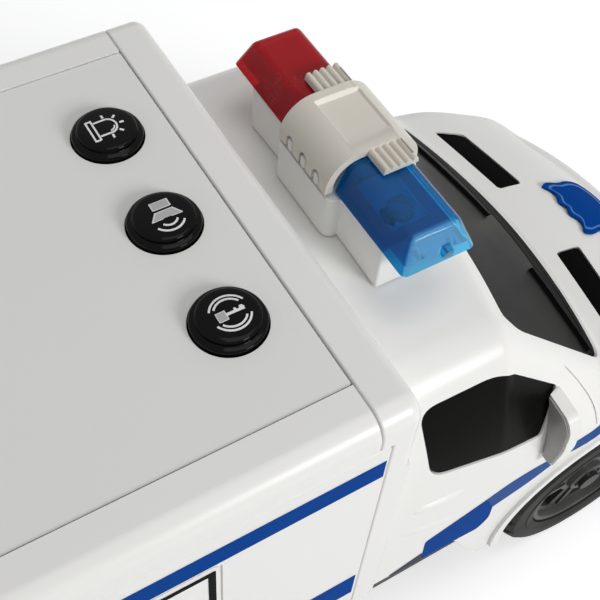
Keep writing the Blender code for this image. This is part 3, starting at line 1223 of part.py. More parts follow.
def build_chassis(gearbox_x, gearbox_y):
    """Black floor with its sills, wheel lugs and battery box."""
    chassis = prism(floor_outline(), FLOOR_Z, FLOOR_TOP, "Z")
    lip_high = SILL_Z + LIP_RISE
    outer, lip = BOX_HALF - TRAY_INSET, BOX_HALF - WALL - 4 * GAP
    inner = outer - TRAY_WALL
    wall_top = SILL_Z - SILL_DROP - GAP
    spans = (
        (BOX_REAR_X + WALL + GAP, REAR_AXLE_X - REAR_NOTCH),
        (REAR_AXLE_X + REAR_NOTCH, FRONT_AXLE_X - FRONT_NOTCH),
    )
    rail = [
        (inner, FLOOR_Z + GAP), (outer, FLOOR_Z + GAP), (outer, wall_top - TRAY_WALL), (lip, wall_top - TRAY_WALL),
        (lip, lip_high), (lip - TRAY_WALL, lip_high), (lip - TRAY_WALL, wall_top), (inner, wall_top),
    ]
    for x0, x1 in spans:
        fuse(chassis, prism(rail, x0 + GAP, x1 - GAP, "X"), prism(flipped(rail), x0 + GAP, x1 - GAP, "X"))
    rear = BOX_REAR_X + WALL + GAP
    fuse(chassis, block((rear, -outer + GAP, FLOOR_Z + 2 * GAP), (rear + 2 * WALL, outer - GAP, lip_high - GAP)))
    fuse(chassis, block((BOX_REAR_X, -inner - GAP, FLOOR_Z + 3 * GAP), (rear + WALL, inner + GAP, wall_top - GAP)))
    reach = KINGPIN_Y + KINGPIN_RADIUS + GAP + 1.6 * MM
    fuse(chassis, block((FRONT_AXLE_X - 5 * MM, -reach, FLOOR_Z), (FRONT_AXLE_X + 5 * MM, reach, FLOOR_TOP)))
    pack_x0, pack_x1 = PACK_REAR_X, PACK_FRONT_X
    half = PACK_WIDTH / 2
    board_z = PACK_TOP + WALL + 8 * MM
    fuse(chassis, block((pack_x0 - WALL - GAP, -half - WALL - GAP, FLOOR_Z + GAP),
                        (pack_x1 + WALL + GAP, half + WALL + GAP, PACK_TOP + WALL)))
    for x in (pack_x0 + 4 * MM, pack_x1 - 4 * MM):
        for side in (1, -1):
            y = side * (half + 8 * MM)
            fuse(chassis, rod((x, y, FLOOR_Z + GAP), (x, y, board_z - GAP), POST_RADIUS, 12))
    cut(
        chassis,
        block((pack_x0 - GAP, -half - GAP, FLOOR_Z - WALL), (pack_x1 + GAP, half + GAP, PACK_TOP)),
        block((pack_x0 - COVER_RIM, -half - COVER_RIM, FLOOR_Z - WALL), (pack_x1 + COVER_RIM, half + COVER_RIM, FLOOR_Z + WALL)),
        rod((pack_x1 + 2 * COVER_RIM, 0, FLOOR_Z - WALL), (pack_x1 + 2 * COVER_RIM, 0, FLOOR_TOP + WALL), SCREW_RADIUS + GAP, 12),
        block((pack_x1, -4 * MM, FLOOR_Z - WALL), (pack_x1 + 3 * COVER_RIM, 4 * MM, FLOOR_Z + 1.2 * MM + GAP)),
        block((gearbox_x[0] - GAP, gearbox_y[0] - GAP, FLOOR_Z - WALL), (gearbox_x[1] + GAP, gearbox_y[1] + GAP, FLOOR_TOP + WALL)),
    )
    knob = SWITCH_KNOB / 2 + GAP
    cut(chassis, block((SWITCH_X - knob, SWITCH_Y - knob, FLOOR_Z - WALL), (SWITCH_X + knob + SWITCH_THROW, SWITCH_Y + knob, FLOOR_TOP + WALL)))
    for k in (-1, 0, 1):
        y = k * 6 * MM
        cut(chassis, block((SPEAKER_X - 7 * MM, y - 1 * MM, FLOOR_Z - WALL), (SPEAKER_X + 7 * MM, y + 1 * MM, FLOOR_TOP + WALL)))
    for side in (1, -1):
        y = side * KINGPIN_Y
        cut(chassis, rod((FRONT_AXLE_X, y, FLOOR_Z - WALL), (FRONT_AXLE_X, y, FLOOR_TOP + WALL), KINGPIN_RADIUS + GAP, 16))
    piece(baked(chassis), "chassis", "black")
    return board_z


def build_inner(board_z):
    """Battery, its cover and screw, boards, speaker and power switch."""
    pack_x0, pack_x1 = PACK_REAR_X, PACK_FRONT_X
    half = PACK_WIDTH / 2
    cover_low, cover_high = FLOOR_Z + GAP / 2, FLOOR_Z + WALL - GAP
    pack = prism(rounded((-half, cover_high + GAP), (half, PACK_TOP - GAP), PACK_HEIGHT * 0.45), pack_x0, pack_x1, "X")
    piece(pack, "battery_pack", "blue")
    rim = COVER_RIM - GAP
    cover = block((pack_x0 - rim, -half - rim, cover_low), (pack_x1 + rim, half + rim, cover_high))
    fuse(cover, block((pack_x1, -4 * MM + GAP, cover_low), (pack_x1 + 3 * COVER_RIM - GAP, 4 * MM - GAP, FLOOR_Z + 1.2 * MM)))
    screw_x = pack_x1 + 2 * COVER_RIM
    cut(cover, rod((screw_x, 0, FLOOR_Z - WALL), (screw_x, 0, FLOOR_Z + WALL), SCREW_RADIUS + GAP, 12))
    piece(baked(cover), "battery_cover", "black")
    screw = turned(
        [(0, FLOOR_TOP + 3 * MM), (SCREW_RADIUS, FLOOR_TOP + 2 * MM), (SCREW_RADIUS, cover_low - GAP),
         (2 * SCREW_RADIUS, cover_low - GAP), (2 * SCREW_RADIUS, cover_low - GAP - 1.2 * MM), (0, cover_low - GAP - 1.2 * MM)],
        Matrix.Translation((screw_x, 0, 0)), steps=16,
    )
    piece(screw, "battery_cover_screw", "steel")

    board = block((pack_x0, -half - 12 * MM, board_z), (pack_x1, half + 12 * MM, board_z + BOARD_THICK))
    top = board_z + BOARD_THICK - GAP
    can_x, plug_x, relay_x = PACK_X + 0.3 * PACK_LENGTH, PACK_X - 0.26 * PACK_LENGTH, PACK_X + 0.25 * PACK_LENGTH
    fuse(
        board,
        block((PACK_X - 5 * MM, -5 * MM, top), (PACK_X + 5 * MM, 5 * MM, top + 2 * MM)),
        rod((can_x, -14 * MM, top), (can_x, -14 * MM, top + 9 * MM), 3 * MM, 16),
        block((plug_x - 6 * MM, 10 * MM, top), (plug_x + 6 * MM, 15 * MM, top + 4 * MM)),
        block((relay_x - 5.5 * MM, 12 * MM, top), (relay_x + 5.5 * MM, 18 * MM, top + 6 * MM)),
    )
    piece(baked(board), "main_board", "board")

    low = FLOOR_TOP + GAP
    profile = [
        (0, low + SPEAKER_HEIGHT), (0.4 * SPEAKER_RADIUS, low + SPEAKER_HEIGHT), (0.4 * SPEAKER_RADIUS, low + 0.6 * SPEAKER_HEIGHT),
        (0.85 * SPEAKER_RADIUS, low + 0.3 * SPEAKER_HEIGHT), (SPEAKER_RADIUS, low + 0.3 * SPEAKER_HEIGHT), (SPEAKER_RADIUS, low), (0, low),
    ]
    piece(turned(profile, Matrix.Translation((SPEAKER_X, 0, 0))), "speaker", "black")

    knob = SWITCH_KNOB / 2
    slider = block((SWITCH_X - knob, SWITCH_Y - knob, FLOOR_Z - 2 * MM), (SWITCH_X + knob, SWITCH_Y + knob, FLOOR_TOP + 2 * MM))
    flange = knob + 2 * MM
    fuse(slider, block((SWITCH_X - flange, SWITCH_Y - flange, FLOOR_TOP + GAP), (SWITCH_X + flange, SWITCH_Y + flange, FLOOR_TOP + 1.5 * MM)))
    piece(baked(slider), "power_switch", "silver", joint_empty("power_switch_line", (SWITCH_X, SWITCH_Y, FLOOR_Z)))


def main():
    build_cab()
    build_cab_trim()
    build_mirrors()
    build_box()
    build_roof()
    build_rear()
    build_lightbar()
    axle_empty = build_wheels()
    build_steering()
    gearbox_x, gearbox_y = build_drive(axle_empty)
    board_z = build_chassis(gearbox_x, gearbox_y)
    build_inner(board_z)


main()
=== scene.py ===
"""Looks of the remote control police van: fine shells, lenses, wheels, films and finishes over its frame.

Shapes are drawn in millimetres. piece() turns each into metres, dresses it and sets it on its body.
"""

import math

import bmesh
import bpy
from mathutils import Matrix, Vector
from mathutils.bvhtree import BVHTree


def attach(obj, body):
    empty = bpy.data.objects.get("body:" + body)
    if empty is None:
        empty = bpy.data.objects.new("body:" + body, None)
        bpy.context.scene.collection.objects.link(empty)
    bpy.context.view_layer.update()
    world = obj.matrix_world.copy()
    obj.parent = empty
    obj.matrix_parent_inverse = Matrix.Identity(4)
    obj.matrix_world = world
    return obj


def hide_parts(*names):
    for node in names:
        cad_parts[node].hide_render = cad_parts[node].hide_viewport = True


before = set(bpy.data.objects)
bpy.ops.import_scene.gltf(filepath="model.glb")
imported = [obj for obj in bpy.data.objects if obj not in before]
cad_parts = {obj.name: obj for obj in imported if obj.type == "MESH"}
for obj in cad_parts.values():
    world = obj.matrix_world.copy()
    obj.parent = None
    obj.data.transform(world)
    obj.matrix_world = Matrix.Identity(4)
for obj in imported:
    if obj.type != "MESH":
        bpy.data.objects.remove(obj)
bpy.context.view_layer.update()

COLLECTION = bpy.context.scene.collection
SIDES = ((1, "left"), (-1, "right"))
MM = 0.001
GAP = 0.3
WALL = 2
PANE = 1.4
FILM = 0.08
FILM_GAP = 0.02
WELD = 0.001

LENGTH = 280
BOX_HALF = 53.5
ROOF_Z = 120
SILL_Z = 38
SILL_RISE = 2.6
BOX_REAR_X = -135
BOX_FRONT_X = 22.4
ROOF_EDGE_RADIUS = 4.5
ROOF_RIM = 4.2
LEDGE = 3
HOOP_ROOF_X = 14
HOOP_SIDE_X = 16.5
HOOP_STEP_Z = 112
HOOP_ROLL = 2.4
HOOP_ROLL_Z = 101
LIP_RISE = 8
PANEL_HALF = 44
PANEL_REAR_X = -131
PANEL_THICK = 2
PANEL_CORNER = 0.5
PANEL_TOP = ROOF_Z - GAP
BUMPER_LOW = 20
BUMPER_HIGH = 37
GROOVE_HALF = 0.4
GROOVES_Z = (25.5, 28.5, 31.5)

BUTTON_X = 2.2
BUTTON_PITCH = 23.8
BUTTON_RADIUS = 6.7
BUTTON_HEIGHT = 2.6
BUTTON_CAP = BUTTON_RADIUS - 1.05
DOME_REACH = 0.88 * BUTTON_CAP
DOME_DROP = 0.25
FLANGE_TOP_Z = 114.4
FLANGE_THICK = 1.3
FLANGE_REACH = 1.3

CAB_HALF = 53
CAB_ROOF_Z = 109.5
CAB_FOOT_Z = 20
CAB_REAR_X = BOX_FRONT_X + GAP
INNER = CAB_HALF - 18
OUTER = CAB_HALF + 6
SCREEN_TOP_X = 55
SCREEN_HALF = 42
SCREEN_TOP_HALF = 40
SCREEN_ARCH = 1.2
COWL_X = 94.5
COWL_Z = 67.3
COWL_RISE = 2.4
LIP_X = 129
LIP_Z = 54.5
NOSE_REACH = 6
CORNER_REACH = 9
FLARE = 4.5
FLARE_END = math.radians(60)
EDGE_TURN = math.radians(75)
SOFT_TURN = math.radians(10)
SCREEN_X = (SCREEN_TOP_X - 12, COWL_X + 8)
NOSE_X = (LIP_X - 26, LENGTH / 2 + 5)
BONNET_Z = (45, 90)
GRILLE_HALF = 18
GRILLE_LOW = 40.5
GRILLE_HIGH = 49

LENS_HALF = 30.5
LENS_REAR_X = 32.5
LENS_FRONT_X = 48
LENS_MID_X = (LENS_REAR_X + LENS_FRONT_X) / 2
LENS_BASE_Z = 120.3
LENS_TOP_Z = 126.7
LENS_TAPER = 2.6
LENS_WALL = 1.2
BAR_BASE_HALF = 23.5
SADDLE_HALF = 8.3
SADDLE_WALL = 1.6
SADDLE_TOP_Z = LENS_TOP_Z + GAP + SADDLE_WALL
TAB_REACH = 5.4
TAB_RIDGES = 5
NOTCH_HALF = 1.3

TYRE_RADIUS = 25.5
TYRE_WIDTH = 18
RIM_RADIUS = 17
SPOKES = 5
AXLE_RADIUS = 2
AXLE_Z = TYRE_RADIUS
WHEEL_Y = 44.8
WELL_Y = 27
FRONT_AXLE_X = 89.5
REAR_AXLE_X = FRONT_AXLE_X - 170
ARCH_RADIUS = 28.5
ARCH_LIP = 2.4
STEER_ROOM = 4


# Shapes

def as_tool(mesh):
    made = bpy.data.objects.new("shape", mesh)
    COLLECTION.objects.link(made)
    return made


def from_bmesh(shape, recalculate=True):
    if recalculate:
        bmesh.ops.recalc_face_normals(shape, faces=shape.faces[:])
    mesh = bpy.data.meshes.new("shape")
    shape.to_mesh(mesh)
    shape.free()
    return as_tool(mesh)


def baked(source):
    """The object with its modifiers applied; the shapes that cut it are removed with it."""
    bpy.context.view_layer.update()
    evaluated = source.evaluated_get(bpy.context.evaluated_depsgraph_get())
    mesh = bpy.data.meshes.new_from_object(evaluated)
    mesh.transform(source.matrix_world)
    spent = [m.object for m in source.modifiers if m.type == "BOOLEAN"]
    for used in [source, *spent]:
        bpy.data.objects.remove(used, do_unlink=True)
    shape = bmesh.new()
    shape.from_mesh(mesh)
    bmesh.ops.remove_doubles(shape, verts=shape.verts[:], dist=WELD)
    return from_bmesh(shape)


def combine(base, operation, tools):
    for tool in tools:
        change = base.modifiers.new(operation.lower(), "BOOLEAN")
        change.operation = operation
        change.solver = "EXACT"
        change.object = tool
    return base


def cut(base, *tools):
    return combine(base, "DIFFERENCE", tools)


def carved(base, *tools):
    return baked(cut(base, *tools))


def fuse(base, *tools):
    return combine(base, "UNION", tools)


def within(base, *tools):
    return baked(combine(base, "INTERSECT", tools))


def joined(shapes):
    """Several shapes kept as one object, side by side."""
    whole = bmesh.new()
    for made in shapes:
        whole.from_mesh(made.data)
        bpy.data.objects.remove(made, do_unlink=True)
    return from_bmesh(whole, recalculate=False)


def eased(made, width, segments=2, angle=40):
    """Edges sharper than an angle in degrees, rolled over by a small bevel."""
    roll = made.modifiers.new("edges", "BEVEL")
    roll.width = width
    roll.segments = segments
    roll.limit_method = "ANGLE"
    roll.angle_limit = math.radians(angle)
    roll.use_clamp_overlap = True
    return baked(made)


def flattened(shape):
    """Takes out the edges that lie inside flat faces."""
    bmesh.ops.dissolve_limit(shape, angle_limit=math.radians(1), verts=shape.verts[:], edges=shape.edges[:])


def rolled(shape, edges, radius, segments, clamp=False):
    bmesh.ops.bevel(
        shape, geom=edges, offset=radius, segments=segments, profile=0.5, affect="EDGES", clamp_overlap=clamp,
    )


def block(low, high, round_by=0, segments=3):
    low, high = Vector(low), Vector(high)
    shape = bmesh.new()
    bmesh.ops.create_cube(shape, size=1)
    bmesh.ops.scale(shape, vec=high - low, verts=shape.verts[:])
    bmesh.ops.translate(shape, vec=(low + high) / 2, verts=shape.verts[:])
    if round_by:
        rolled(shape, shape.edges[:], round_by, segments)
    return from_bmesh(shape)


def rod(start, end, radius, steps, end_radius=None):
    start, end = Vector(start), Vector(end)
    along = end - start
    turn = Vector((0, 0, 1)).rotation_difference(along).to_matrix().to_4x4()
    place = Matrix.Translation((start + end) / 2) @ turn
    shape = bmesh.new()
    bmesh.ops.create_cone(
        shape, cap_ends=True, segments=steps, radius1=radius,
        radius2=radius if end_radius is None else end_radius, depth=along.length, matrix=place,
    )
    return from_bmesh(shape)


PLANES = {
    "X": Matrix(((0, 0, 1, 0), (1, 0, 0, 0), (0, 1, 0, 0), (0, 0, 0, 1))),
    "Y": Matrix(((1, 0, 0, 0), (0, 0, -1, 0), (0, 1, 0, 0), (0, 0, 0, 1))),
    "Z": Matrix.Identity(4),
}


def prism(outlines, low, high, axis):
    """A flat outline, with holes after the first, extruded along an axis from low to high."""
    if not isinstance(outlines[0][0], (tuple, list)):
        outlines = [outlines]
    curve = bpy.data.curves.new("outline", "CURVE")
    curve.dimensions = "2D"
    curve.fill_mode = "BOTH"
    curve.extrude = (high - low) / 2
    for points in outlines:
        spline = curve.splines.new("POLY")
        spline.points.add(len(points) - 1)
        spline.use_cyclic_u = True
        for point, (u, v) in zip(spline.points, points):
            point.co = (u, v, 0, 1)
    drawn = bpy.data.objects.new("outline", curve)
    COLLECTION.objects.link(drawn)
    shift = [0, 0, 0]
    shift["XYZ".index(axis)] = (low + high) / 2
    drawn.matrix_world = Matrix.Translation(shift) @ PLANES[axis]
    return baked(drawn)


def turned(profile, place, steps, closed=False):
    """A profile of (radius, height), outer side from top to bottom, turned about its axis."""
    mesh = bpy.data.meshes.new("profile")
    edges = [(i, i + 1) for i in range(len(profile) - 1)]
    if closed:
        edges.append((len(profile) - 1, 0))
    mesh.from_pydata([(r, 0, h) for r, h in profile], edges, [])
    made = as_tool(mesh)
    screw = made.modifiers.new("turn", "SCREW")
    screw.axis = "Z"
    screw.steps = steps
    screw.render_steps = steps
    screw.use_merge_vertices = True
    screw.merge_threshold = WELD
    made.matrix_world = place
    return baked(made)


def ring_walls(shape, near, far):
    """Faces between two closed rings of vertices."""
    for k in range(len(near)):
        j = (k + 1) % len(near)
        shape.faces.new((near[k], near[j], far[j], far[k]))


def frustum(*ends):
    """A block between two level rectangles, each given as z, rear x, front x, near y and far y."""
    shape = bmesh.new()
    rings = []
    for z, rear, front, near, far in ends:
        corners = ((rear, near), (front, near), (front, far), (rear, far))
        rings.append([shape.verts.new((x, y, z)) for x, y in corners])
        shape.faces.new(rings[-1])
    ring_walls(shape, *rings)
    bmesh.ops.recalc_face_normals(shape, faces=shape.faces[:])
    return shape


def piece(made, name, material, body="van_body", angle=35):
    """Finishes a shape and sets it on its body. Under the name of a solid, it stands for that solid."""
    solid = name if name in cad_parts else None
    made.name = name + "_fine" if solid else name
    made.data.name = made.name
    made.data.transform(Matrix.Scale(MM, 4))
    made.data.materials.clear()
    made.data.materials.append(material)
    made.data.shade_smooth()
    made.data.set_sharp_from_angle(angle=math.radians(angle))
    flat = made.modifiers.new("flat_faces", "WEIGHTED_NORMAL")
    flat.weight = 100
    flat.keep_sharp = True
    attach(made, body)
    if solid:
        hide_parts(solid)


# Outlines

def span(side, inner, outer):
    """Two distances from the van's middle as coordinates on one side, in rising order."""
    return sorted((side * inner, side * outer))


def arc(centre, radius, start, end, steps):
    """Points on an arc, with angles in degrees."""
    angles = [math.radians(start + (end - start) * i / steps) for i in range(steps + 1)]
    return [(centre[0] + radius * math.cos(a), centre[1] + radius * math.sin(a)) for a in angles]


def rounded(low, high, radius, steps=8):
    """A rectangle with round corners."""
    (u0, v0), (u1, v1) = low, high
    return (
        arc((u1 - radius, v1 - radius), radius, 0, 90, steps)
        + arc((u0 + radius, v1 - radius), radius, 90, 180, steps)
        + arc((u0 + radius, v0 + radius), radius, 180, 270, steps)
        + arc((u1 - radius, v0 + radius), radius, 270, 360, steps)
    )


def framed(low, high, width, radius, inner_radius, steps=8):
    """A rounded rectangle and its hole, as a frame of some width."""
    (u0, v0), (u1, v1) = low, high
    hole = rounded((u0 + width, v0 + width), (u1 - width, v1 - width), inner_radius, steps)
    return [rounded(low, high, radius, steps), hole]


def soft_corners(points, radius, steps=8):
    """An outline whose corners are drawn as short curves, of one size or of a size each."""
    sizes = radius if isinstance(radius, tuple) else (radius,) * len(points)
    made = []
    for i, corner in enumerate(points):
        here = Vector(corner)
        before = Vector(points[i - 1]) - here
        after = Vector(points[(i + 1) % len(points)]) - here
        reach = min(sizes[i], before.length / 2.2, after.length / 2.2)
        start = here + before.normalized() * reach
        end = here + after.normalized() * reach
        for k in range(steps + 1):
            t = k / steps
            made.append(tuple(start * (1 - t) ** 2 + here * 2 * t * (1 - t) + end * t ** 2))
    return made


def band(points, width):
    """The outline of a line of some width along a row of points."""
    left, right = [], []
    spots = [Vector(p) for p in points]
    for i, spot in enumerate(spots):
        ahead = spots[min(i + 1, len(spots) - 1)] - spots[max(i - 1, 0)]
        side = Vector((-ahead.y, ahead.x)).normalized() * width / 2
        left.append(tuple(spot + side))
        right.append(tuple(spot - side))
    return left + right[::-1]


def smooth_line(points, steps):
    """A smooth curve through a few points."""
    spots = [Vector(p) for p in points]
    spots = [2 * spots[0] - spots[1], *spots, 2 * spots[-1] - spots[-2]]
    made = []
    for a, b, c, d in zip(spots, spots[1:], spots[2:], spots[3:]):
        for k in range(steps):
            t = k / steps
            square = (2 * a - 5 * b + 4 * c - d) * t * t
            cube = (3 * b - a - 3 * c + d) * t ** 3
            made.append(tuple(0.5 * (2 * b + (c - a) * t + square + cube)))
    made.append(tuple(spots[-2]))
    return made


def shrunk(outline, inset):
    """An outline drawn in by a small distance all round."""
    spots = [Vector(p) for p in outline]
    turn = sum(a.cross(b) for a, b in zip(spots, spots[1:] + spots[:1]))
    made = []
    for i, spot in enumerate(spots):
        ahead = (spots[(i + 1) % len(spots)] - spots[i - 1]).normalized()
        made.append(tuple(spot + Vector((-ahead.y, ahead.x)) * math.copysign(inset, turn)))
    return made


def sided_yz(outline, side):
    """An outline in (y, z), drawn for the left, on one side."""
    return outline if side > 0 else [(-y, z) for y, z in reversed(outline)]


def sided_xy(outline, side):
    """An outline in (x, y), drawn for the left, on one side."""
    return outline if side > 0 else [(x, -y) for x, y in reversed(outline)]


# Finishes

def fill(tree, made, inputs):
    """Sets a node's inputs to values, or links them to the results of other nodes."""
    for key, value in inputs.items():
        socket = made.inputs[key]
        if isinstance(value, bpy.types.NodeSocket):
            tree.links.new(value, socket)
        else:
            socket.default_value = (*value, 1) if socket.type == "RGBA" else value
    return made


def node(tree, kind, inputs, operation=None):
    made = tree.nodes.new("ShaderNode" + kind)
    if operation:
        made.operation = operation
    return fill(tree, made, inputs)


def sums(tree, operation, *values):
    return node(tree, "Math", dict(enumerate(values)), operation).outputs["Value"]


def noise(tree, scale, detail, stretch=None):
    """Noise over the object's own coordinates."""
    where = node(tree, "TexCoord", {}).outputs["Object"]
    if stretch:
        where = node(tree, "Mapping", {"Vector": where, "Scale": stretch}).outputs["Vector"]
    return node(tree, "TexNoise", {"Vector": where, "Scale": scale, "Detail": detail}).outputs["Fac"]


def ranged(tree, value, low, high, start=0.1, end=0.9):
    limits = {"Value": value, "From Min": start, "From Max": end, "To Min": low, "To Max": high}
    return node(tree, "MapRange", limits).outputs["Result"]


def blended(tree, share, first, second):
    """Two colours mixed; a mix node's colours are its inputs 6 and 7 and its output 2."""
    made = tree.nodes.new("ShaderNodeMix")
    made.data_type = "RGBA"
    return fill(tree, made, {0: share, 6: first, 7: second}).outputs[2]


def bumped(tree, height, strength, distance):
    inputs = {"Height": height, "Strength": strength, "Distance": distance}
    return node(tree, "Bump", inputs).outputs["Normal"]


def tinted(colour, factor):
    return tuple(min(1.0, c * factor) for c in colour)


def new_material(name):
    material = bpy.data.materials.new(name)
    material.use_nodes = True
    tree = material.node_tree
    return material, tree, tree.nodes["Principled BSDF"]


def plastic(name, colour, rough, drift, grain, size, shine=0.5, metallic=0):
    """Moulded plastic: slight drift in tone, uneven gloss and a fine grain."""
    material, tree, shader = new_material(name)
    cloud = ranged(tree, noise(tree, 28, 4), 0, 1)
    fill(tree, shader, {
        "Base Color": blended(tree, cloud, tinted(colour, 1 - drift), tinted(colour, 1 + drift)),
        "Roughness": ranged(tree, noise(tree, 60, 3), rough * 0.85, rough * 1.2),
        "Metallic": metallic,
        "Specular IOR Level": shine,
        "Normal": bumped(tree, noise(tree, size, 2), grain, 0.1 * MM),
    })
    return material


def lens_plastic(name, colour, deep, rough, clear, bend, scuff=None, painted_end_light=None):
    """Clear tinted plastic with flow lines, worn in places if scuffed, and with paler end walls if given:
    painted light on the walls that face sideways.
    """
    material, tree, shader = new_material(name)
    flow = ranged(tree, noise(tree, 90, 3, (1.0, 0.35, 1.0)), 0, 1)
    tone = blended(tree, flow, deep, colour)
    if scuff:
        patches = ranged(tree, noise(tree, 130, 3), 0, 1, 0.54, 0.70)
        scratches = ranged(tree, noise(tree, 2600, 4), 0, 0.6, 0.5, 0.62)
        tone = blended(tree, sums(tree, "MULTIPLY", patches, scratches), tone, scuff)
    # Painted light: walls facing sideways are painted paler, as if lit on their ends.
    if painted_end_light:
        normal = node(tree, "NewGeometry", {}).outputs["Normal"]
        across = node(tree, "SeparateXYZ", {"Vector": normal}).outputs["Y"]
        tone = blended(tree, ranged(tree, sums(tree, "ABSOLUTE", across), 0, 1, 0.35, 0.6), tone, painted_end_light)
    fill(tree, shader, {
        "Base Color": tone,
        "Roughness": ranged(tree, noise(tree, 240, 3), rough * 0.6, rough * 2.2),
        "Transmission Weight": clear,
        "IOR": bend,
        "Normal": bumped(tree, noise(tree, 150, 2), 0.12, 0.2 * MM),
    })
    return material


def rubber(name, colour):
    """Dusty rubber."""
    material, tree, shader = new_material(name)
    dust = ranged(tree, noise(tree, 70, 5), 0, 0.55, 0.45, 0.75)
    fill(tree, shader, {
        "Base Color": blended(tree, dust, colour, tinted(colour, 2.4)),
        "Roughness": ranged(tree, noise(tree, 120, 3), 0.55, 0.85),
        "Specular IOR Level": 0.15,
        "Normal": bumped(tree, noise(tree, 900, 3), 0.25, 0.15 * MM),
    })
    return material


def metal(name, colour, rough):
    """Bare metal with cloudy gloss."""
    material, tree, shader = new_material(name)
    streaks = noise(tree, 220, 3)
    fill(tree, shader, {
        "Base Color": blended(tree, ranged(tree, streaks, 0, 1), tinted(colour, 0.8), colour),
        "Roughness": ranged(tree, streaks, rough * 0.7, rough * 1.4),
        "Metallic": 1,
        "Normal": bumped(tree, streaks, 0.05, 0.1 * MM),
    })
    return material


WHITE = plastic("white_plastic", (0.85, 0.842, 0.815), 0.30, 0.012, 0.05, 1500, 0.4)
# Painted shade: the roof panel's white is painted a little darker than the body's, for the same plastic lit
# less.
ROOF_SHADED = plastic("roof_plastic", (0.82, 0.82, 0.80), 0.60, 0.015, 0.10, 1700, 0.15)
CREAM = plastic("cream_plastic", (0.74, 0.70, 0.62), 0.38, 0.03, 0.06, 1300, 0.4)
BLACK = plastic("black_plastic", (0.002, 0.002, 0.002), 0.40, 0.2, 0.10, 1200, 0.010)
CHASSIS = plastic("chassis_plastic", (0.016, 0.016, 0.016), 0.50, 0.2, 0.20, 900, 0.3)
GLOSS = plastic("gloss_black_plastic", (0.001, 0.001, 0.001), 0.07, 0.3, 0.02, 700, 0.09)
TINTED = plastic("tinted_pane", (0.004, 0.004, 0.003), 0.26, 0.3, 0.02, 300, 0.015)
SCREEN = plastic("screen_pane", (0.014, 0.014, 0.013), 0.28, 0.25, 0.02, 300, 0.01)
BLUE_FILM = plastic("blue_film", (0.002, 0.056, 0.29), 0.45, 0.06, 0.05, 500, 0.005)
DULL_FILM = plastic("dull_blue_film", (0.022, 0.080, 0.28), 0.45, 0.08, 0.05, 500, 0.02)
# Painted shade: a darkened blue for the film's thin tail along the cab's foot.
SHADE_FILM = plastic("blue_film_painted_shade", (0.020, 0.026, 0.055), 0.45, 0.15, 0.05, 500, 0.05)
PALE_FILM = plastic("pale_blue_film", (0.060, 0.19, 0.50), 0.40, 0.08, 0.05, 500, 0.1)
BLACK_FILM = plastic("black_film", (0.003, 0.003, 0.003), 0.45, 0.2, 0.05, 500, 0.01)
PRINT = plastic("white_print", (0.80, 0.80, 0.80), 0.40, 0.06, 0.08, 2600)
GREY_PRINT = plastic("grey_print", (0.42, 0.42, 0.42), 0.45, 0.10, 0.08, 2600)
# Painted shade: the mirror plate is painted mid grey to stand for the shade on the mirror's rear face.
MIRROR_SHADE_GREY = plastic("mirror_painted_shade", (0.36, 0.35, 0.34), 0.30, 0.05, 0.03, 900, 0.3)
GREY = plastic("grey_plastic", (0.10, 0.10, 0.105), 0.50, 0.06, 0.20, 900)
RIM_GREY = plastic("rim_plastic", (0.040, 0.040, 0.038), 0.42, 0.08, 0.10, 900, 0.25)
SILVER = plastic("silver_plastic", (0.62, 0.62, 0.63), 0.22, 0.04, 0.03, 800, metallic=0.8)
NYLON = plastic("nylon", (0.72, 0.70, 0.63), 0.48, 0.04, 0.08, 900)
BOARD = plastic("circuit_board", (0.015, 0.16, 0.05), 0.40, 0.15, 0.10, 500)
CELL = plastic("blue_plastic", (0.012, 0.07, 0.34), 0.32, 0.06, 0.04, 700)
RED_LENS = lens_plastic("red_lens", (0.62, 0.010, 0.022), (0.50, 0.006, 0.014), 0.05, 0.55, 1.22,
                        scuff=(0.72, 0.22, 0.24))
# The blue lens gets painted light: its end walls are painted paler.
BLUE_LENS = lens_plastic("blue_lens", (0.004, 0.31, 0.66), (0.002, 0.23, 0.56), 0.025, 0.82, 1.27,
                         painted_end_light=(0.30, 0.72, 0.95))
CLEAR = lens_plastic("clear_lens", (0.92, 0.94, 0.96), (0.86, 0.89, 0.92), 0.05, 0.85, 1.45)
TYRE = rubber("tyre_rubber", (0.022, 0.022, 0.021))
STEEL = metal("steel", (0.58, 0.58, 0.58), 0.28)
BRASS = metal("brass", (0.72, 0.50, 0.20), 0.28)


# Cab: a fine surface through the same ribs as the solid

# Each rib: x, z, bow to the rear, half width, drop, edge radius, depth of the belt, turn in degrees
RIBS = (
    (CAB_REAR_X, CAB_ROOF_Z, 0, 37, 1.7, 10, 42, 0),
    (SCREEN_TOP_X - 4, CAB_ROOF_Z, 3, 37, 2, 10, 41, 0),
    (SCREEN_TOP_X, CAB_ROOF_Z - 2, 3.5, 37, 2, 9, 39, 0),
    (COWL_X - 3, COWL_Z + 2.2, 5, 40.5, 0, 6, 18, 0),
    (COWL_X, COWL_Z, 4.5, 42, 0.5, 6, 16, 0),
    (COWL_X + 9.5, COWL_Z - 2.1, 4, 41.5, 0.8, 6, 12.5, 0),
    (LIP_X - 14, LIP_Z + 7.3, 4, 39, 1.5, 6, 12, 10),
    (LIP_X - 5, LIP_Z + 3.2, 4.5, 36, 1.2, 6, 10, 26),
    (LIP_X, LIP_Z, 5, 31.5, 1.5, 5, 9, 42),
)
RIB_STEPS = (6, 6, 14, 4, 5, 5, 5, 4)
BENT_SPANS = (1, 3)
SOFT_RIBS = (5, 6, 7)
TOP_STEPS = 12
EDGE_STEPS = 7
LEAN_STEPS = 7
FOOT_STEPS = 6
SKIN_MARGIN = 4

